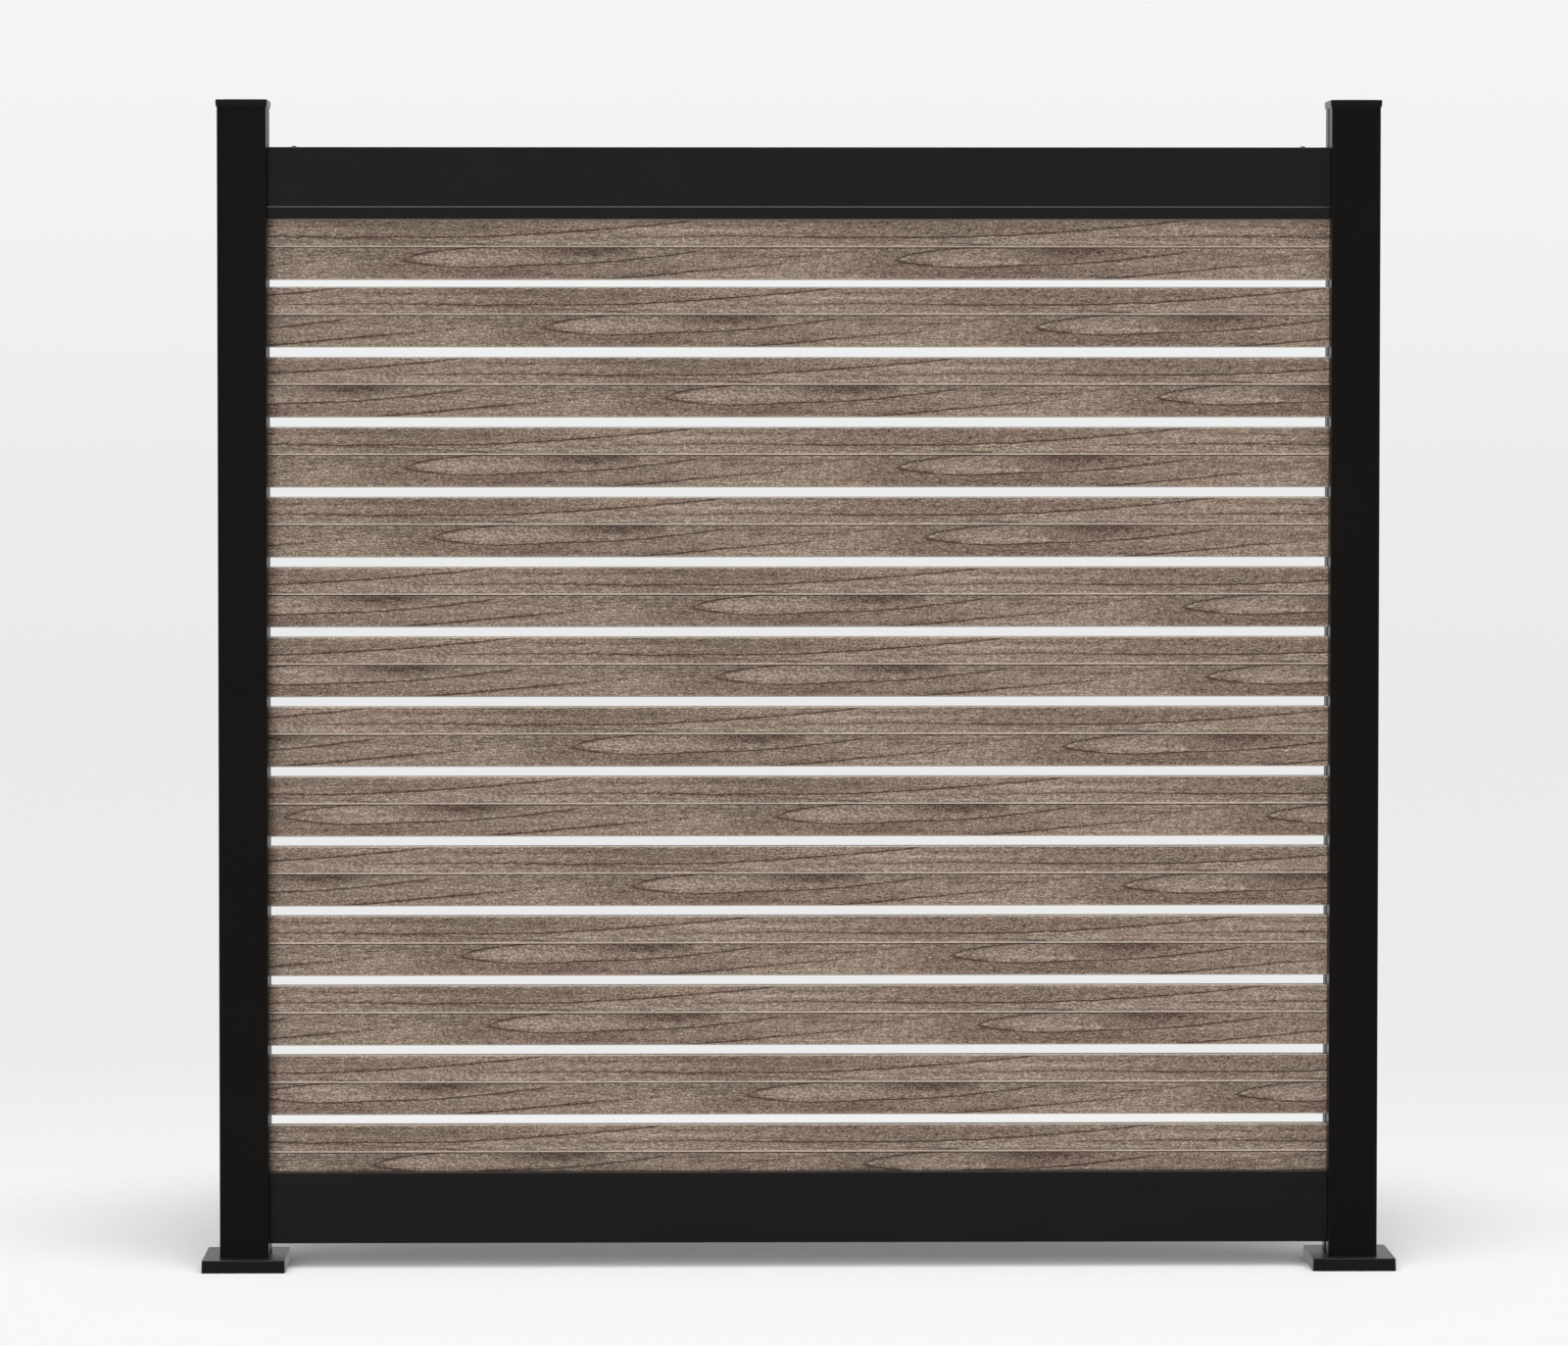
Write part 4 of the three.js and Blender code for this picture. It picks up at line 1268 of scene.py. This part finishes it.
# %% Make the floor
FLOOR_HALF = 6.0
FLOOR_SOLID = 1.1
FLOOR_GONE = 1.9
FLOOR_OVAL = (1.0, 1.4, 1.0)  # distances count more across the screen's plane than along it


def floor_finish():
    material, tree, shader = new_finish("pale_floor", Roughness=0.9, Specular_IOR_Level=0.1)
    shader.inputs["Base Color"].default_value = srgb(214, 214, 214)
    where = put(tree, "ShaderNodeTexCoord").outputs["Object"]
    oval = put(tree, "ShaderNodeVectorMath", {0: where, 1: FLOOR_OVAL}, operation="MULTIPLY").outputs[0]
    away = put(tree, "ShaderNodeVectorMath", {0: oval}, operation="LENGTH").outputs["Value"]
    gone = stretch(tree, away, FLOOR_SOLID, FLOOR_GONE, interpolation_type="SMOOTHSTEP")
    clear = put(tree, "ShaderNodeBsdfTransparent").outputs[0]
    mixed = put(tree, "ShaderNodeMixShader", {0: gone, 1: shader.outputs[0], 2: clear}).outputs[0]
    tree.links.new(mixed, tree.nodes["Material Output"].inputs["Surface"])
    return material


floor_mesh = bpy.data.meshes.new("floor")
floor_corners = [(x * FLOOR_HALF, y * FLOOR_HALF, 0.0) for x, y in ((-1, -1), (1, -1), (1, 1), (-1, 1))]
floor_mesh.from_pydata(floor_corners, [], [(0, 1, 2, 3)])
floor = add_object("floor", floor_mesh)
floor_mesh.materials.append(floor_finish())
floor.visible_diffuse = False
floor.visible_glossy = False

# %% [markdown]
# ## Background and surroundings
# The camera sees a pale background that is a little brighter towards the top and the bottom. What shines
# back from the black pieces is bright behind the screen and dim in front of it, as in a studio with a white
# wall. The world's own light on the object is soft and grey, brightest in front at the height of the
# horizon.
#
# A colour ramp begins with two stops, which here are its ends, so each list gives its two ends first.


# %% Make the world
def grey(level):
    return srgb(level, level, level)


# Greys of the background from low to high. The place is 0.5 + 2.5 times the height of the line of sight.
SEEN = {0.08: 247, 0.70: 246, 0.11: 245, 0.17: 236, 0.34: 234, 0.44: 236, 0.52: 240, 0.60: 243}
MIRRORED_IN_FRONT = grey(64)
MIRRORED_BEHIND = grey(240)
LIGHT_BY_HEIGHT = {0.0: 120, 1.0: 150, 0.5: 180}  # from below, from above and from the horizon
LIGHT_BEHIND = grey(118)


def grey_steps(tree, place_between, levels):
    return colour_steps(tree, place_between, [(position, grey(level)) for position, level in levels.items()])


def build_world():
    world = bpy.data.worlds.new("studio")
    bpy.context.scene.world = world
    world.use_nodes = True
    tree = world.node_tree
    tree.nodes.clear()
    direction = put(tree, "ShaderNodeTexCoord").outputs["Generated"]
    parts = put(tree, "ShaderNodeSeparateXYZ", {0: direction}).outputs
    seen = grey_steps(tree, calculate(tree, "MULTIPLY_ADD", parts["Z"], 2.5, 0.5), SEEN)
    behind = stretch(tree, parts["Y"], -0.3, 0.5)
    mirrored = blend(tree, behind, MIRRORED_IN_FRONT, MIRRORED_BEHIND)
    ambient = grey_steps(tree, calculate(tree, "MULTIPLY_ADD", parts["Z"], 0.5, 0.5), LIGHT_BY_HEIGHT)
    ambient = blend(tree, behind, ambient, LIGHT_BEHIND)
    lighting, glossy, shown = (
        put(tree, "ShaderNodeBackground", {"Color": colour, "Strength": 1.0}).outputs[0]
        for colour in (ambient, mirrored, seen)
    )
    rays = put(tree, "ShaderNodeLightPath").outputs
    feeds = {0: rays["Is Glossy Ray"], 1: lighting, 2: glossy}
    with_gloss = put(tree, "ShaderNodeMixShader", feeds).outputs[0]
    direct = calculate(tree, "MAXIMUM", rays["Is Camera Ray"], rays["Is Transmission Ray"])
    everything = put(tree, "ShaderNodeMixShader", {0: direct, 1: with_gloss, 2: shown}).outputs[0]
    put(tree, "ShaderNodeOutputWorld", {"Surface": everything})


build_world()

# %% [markdown]
# ## Lamps
# Soft, far lamps. A sun lamp with a wide disc is the same as a large softbox far away, and lights the top
# and the bottom of a tall screen alike. One stands low in front, a little to the left, and lights the
# faces. One hangs nearly overhead and lights the upper flank of each raised line. A weaker one fills the
# back. The floor has a lamp of its own, because its shadow has to be deep and soft without brightening the
# black pieces. Light linking keeps that lamp on the floor, and the overhead and back ones off it.


# %% Make the lamps
def far_lamp(name, turn, height, disc, strength):
    """turn is from straight in front towards the right, height above the horizon, all in degrees."""
    data = bpy.data.lights.new(name, "SUN")
    data.angle = math.radians(disc)
    data.energy = strength
    lamp = add_object(name, data)
    side, up = math.radians(turn), math.radians(height)
    towards = Vector((math.sin(side) * math.cos(up), -math.cos(side) * math.cos(up), math.sin(up)))
    lamp.location = 5.0 * towards
    lamp.rotation_euler = towards.to_track_quat("Z", "Y").to_euler()
    print(f"{name}: strength {strength}, {height} degrees up")
    return lamp


front_softbox = far_lamp("front_softbox", turn=-14, height=4, disc=40, strength=2.05)
overhead_softbox = far_lamp("overhead_softbox", turn=0, height=84, disc=16, strength=1.2)
back_softbox = far_lamp("back_softbox", turn=165, height=12, disc=60, strength=1.8)
floor_softbox = far_lamp("floor_softbox", turn=5, height=52, disc=84, strength=4.3)

# %% Keep each lamp on what it is for
for lamp in (front_softbox, back_softbox, floor_softbox):
    lamp.visible_glossy = False

for lamp, state in ((floor_softbox, "INCLUDE"), (overhead_softbox, "EXCLUDE"), (back_softbox, "EXCLUDE")):
    linked = bpy.data.collections.new(f"{lamp.name}_floor")
    linked.objects.link(floor)
    linked.collection_objects[0].light_linking.link_state = state
    lamp.light_linking.receiver_collection = linked
    print(f"{lamp.name}: floor {state.lower()}d")

# %% [markdown]
# ## Camera
# The photograph was taken level, a little to the left of the screen's middle, with the frame lowered so
# that the screen fills it. A lens shift does that without leaning posts, but the shift stays when the
# camera moves to another side. So half of the way is shift here and half is turning the camera, which leans
# the posts by less than a pixel in a hundred.

# %% Place the camera
PHOTO_WIDTH = 1600
PHOTO_HEIGHT = 1373
FOCAL_PIXELS = 5368.0
SENSOR_WIDTH = 36.0
CAMERA_DISTANCE = 8.18  # from the posts' front faces
EYE_HEIGHT = 1.432
EYE_SIDE = -0.22
LEVEL_AXIS = (671.4, 359.6)  # the pixel that a level camera, square to the screen, looks straight at
TURN_SHARE = 0.5

to_middle = (PHOTO_WIDTH / 2 - LEVEL_AXIS[0], PHOTO_HEIGHT / 2 - LEVEL_AXIS[1])
turned = [TURN_SHARE * pixels for pixels in to_middle]
camera_data = bpy.data.cameras.new("camera")
camera_data.sensor_width = SENSOR_WIDTH
camera_data.lens = FOCAL_PIXELS * SENSOR_WIDTH / PHOTO_WIDTH
camera_data.shift_x = (to_middle[0] - turned[0]) / PHOTO_WIDTH
camera_data.shift_y = -(to_middle[1] - turned[1]) / PHOTO_WIDTH
camera = add_object("camera", camera_data)
camera.location = (EYE_SIDE, post_low[1] - CAMERA_DISTANCE, EYE_HEIGHT)
tilt = math.atan(turned[1] / FOCAL_PIXELS)
yaw = math.atan(turned[0] / FOCAL_PIXELS)
camera.rotation_euler = (math.radians(90) - tilt, 0.0, -yaw)
bpy.context.scene.camera = camera
bpy.context.scene.view_settings.view_transform = "Standard"
print(f"lens {camera_data.lens:.1f} mm, shift {camera_data.shift_x:.4f}, {camera_data.shift_y:.4f}")
print(f"turned {math.degrees(yaw):.2f} degrees right and {math.degrees(tilt):.2f} down")
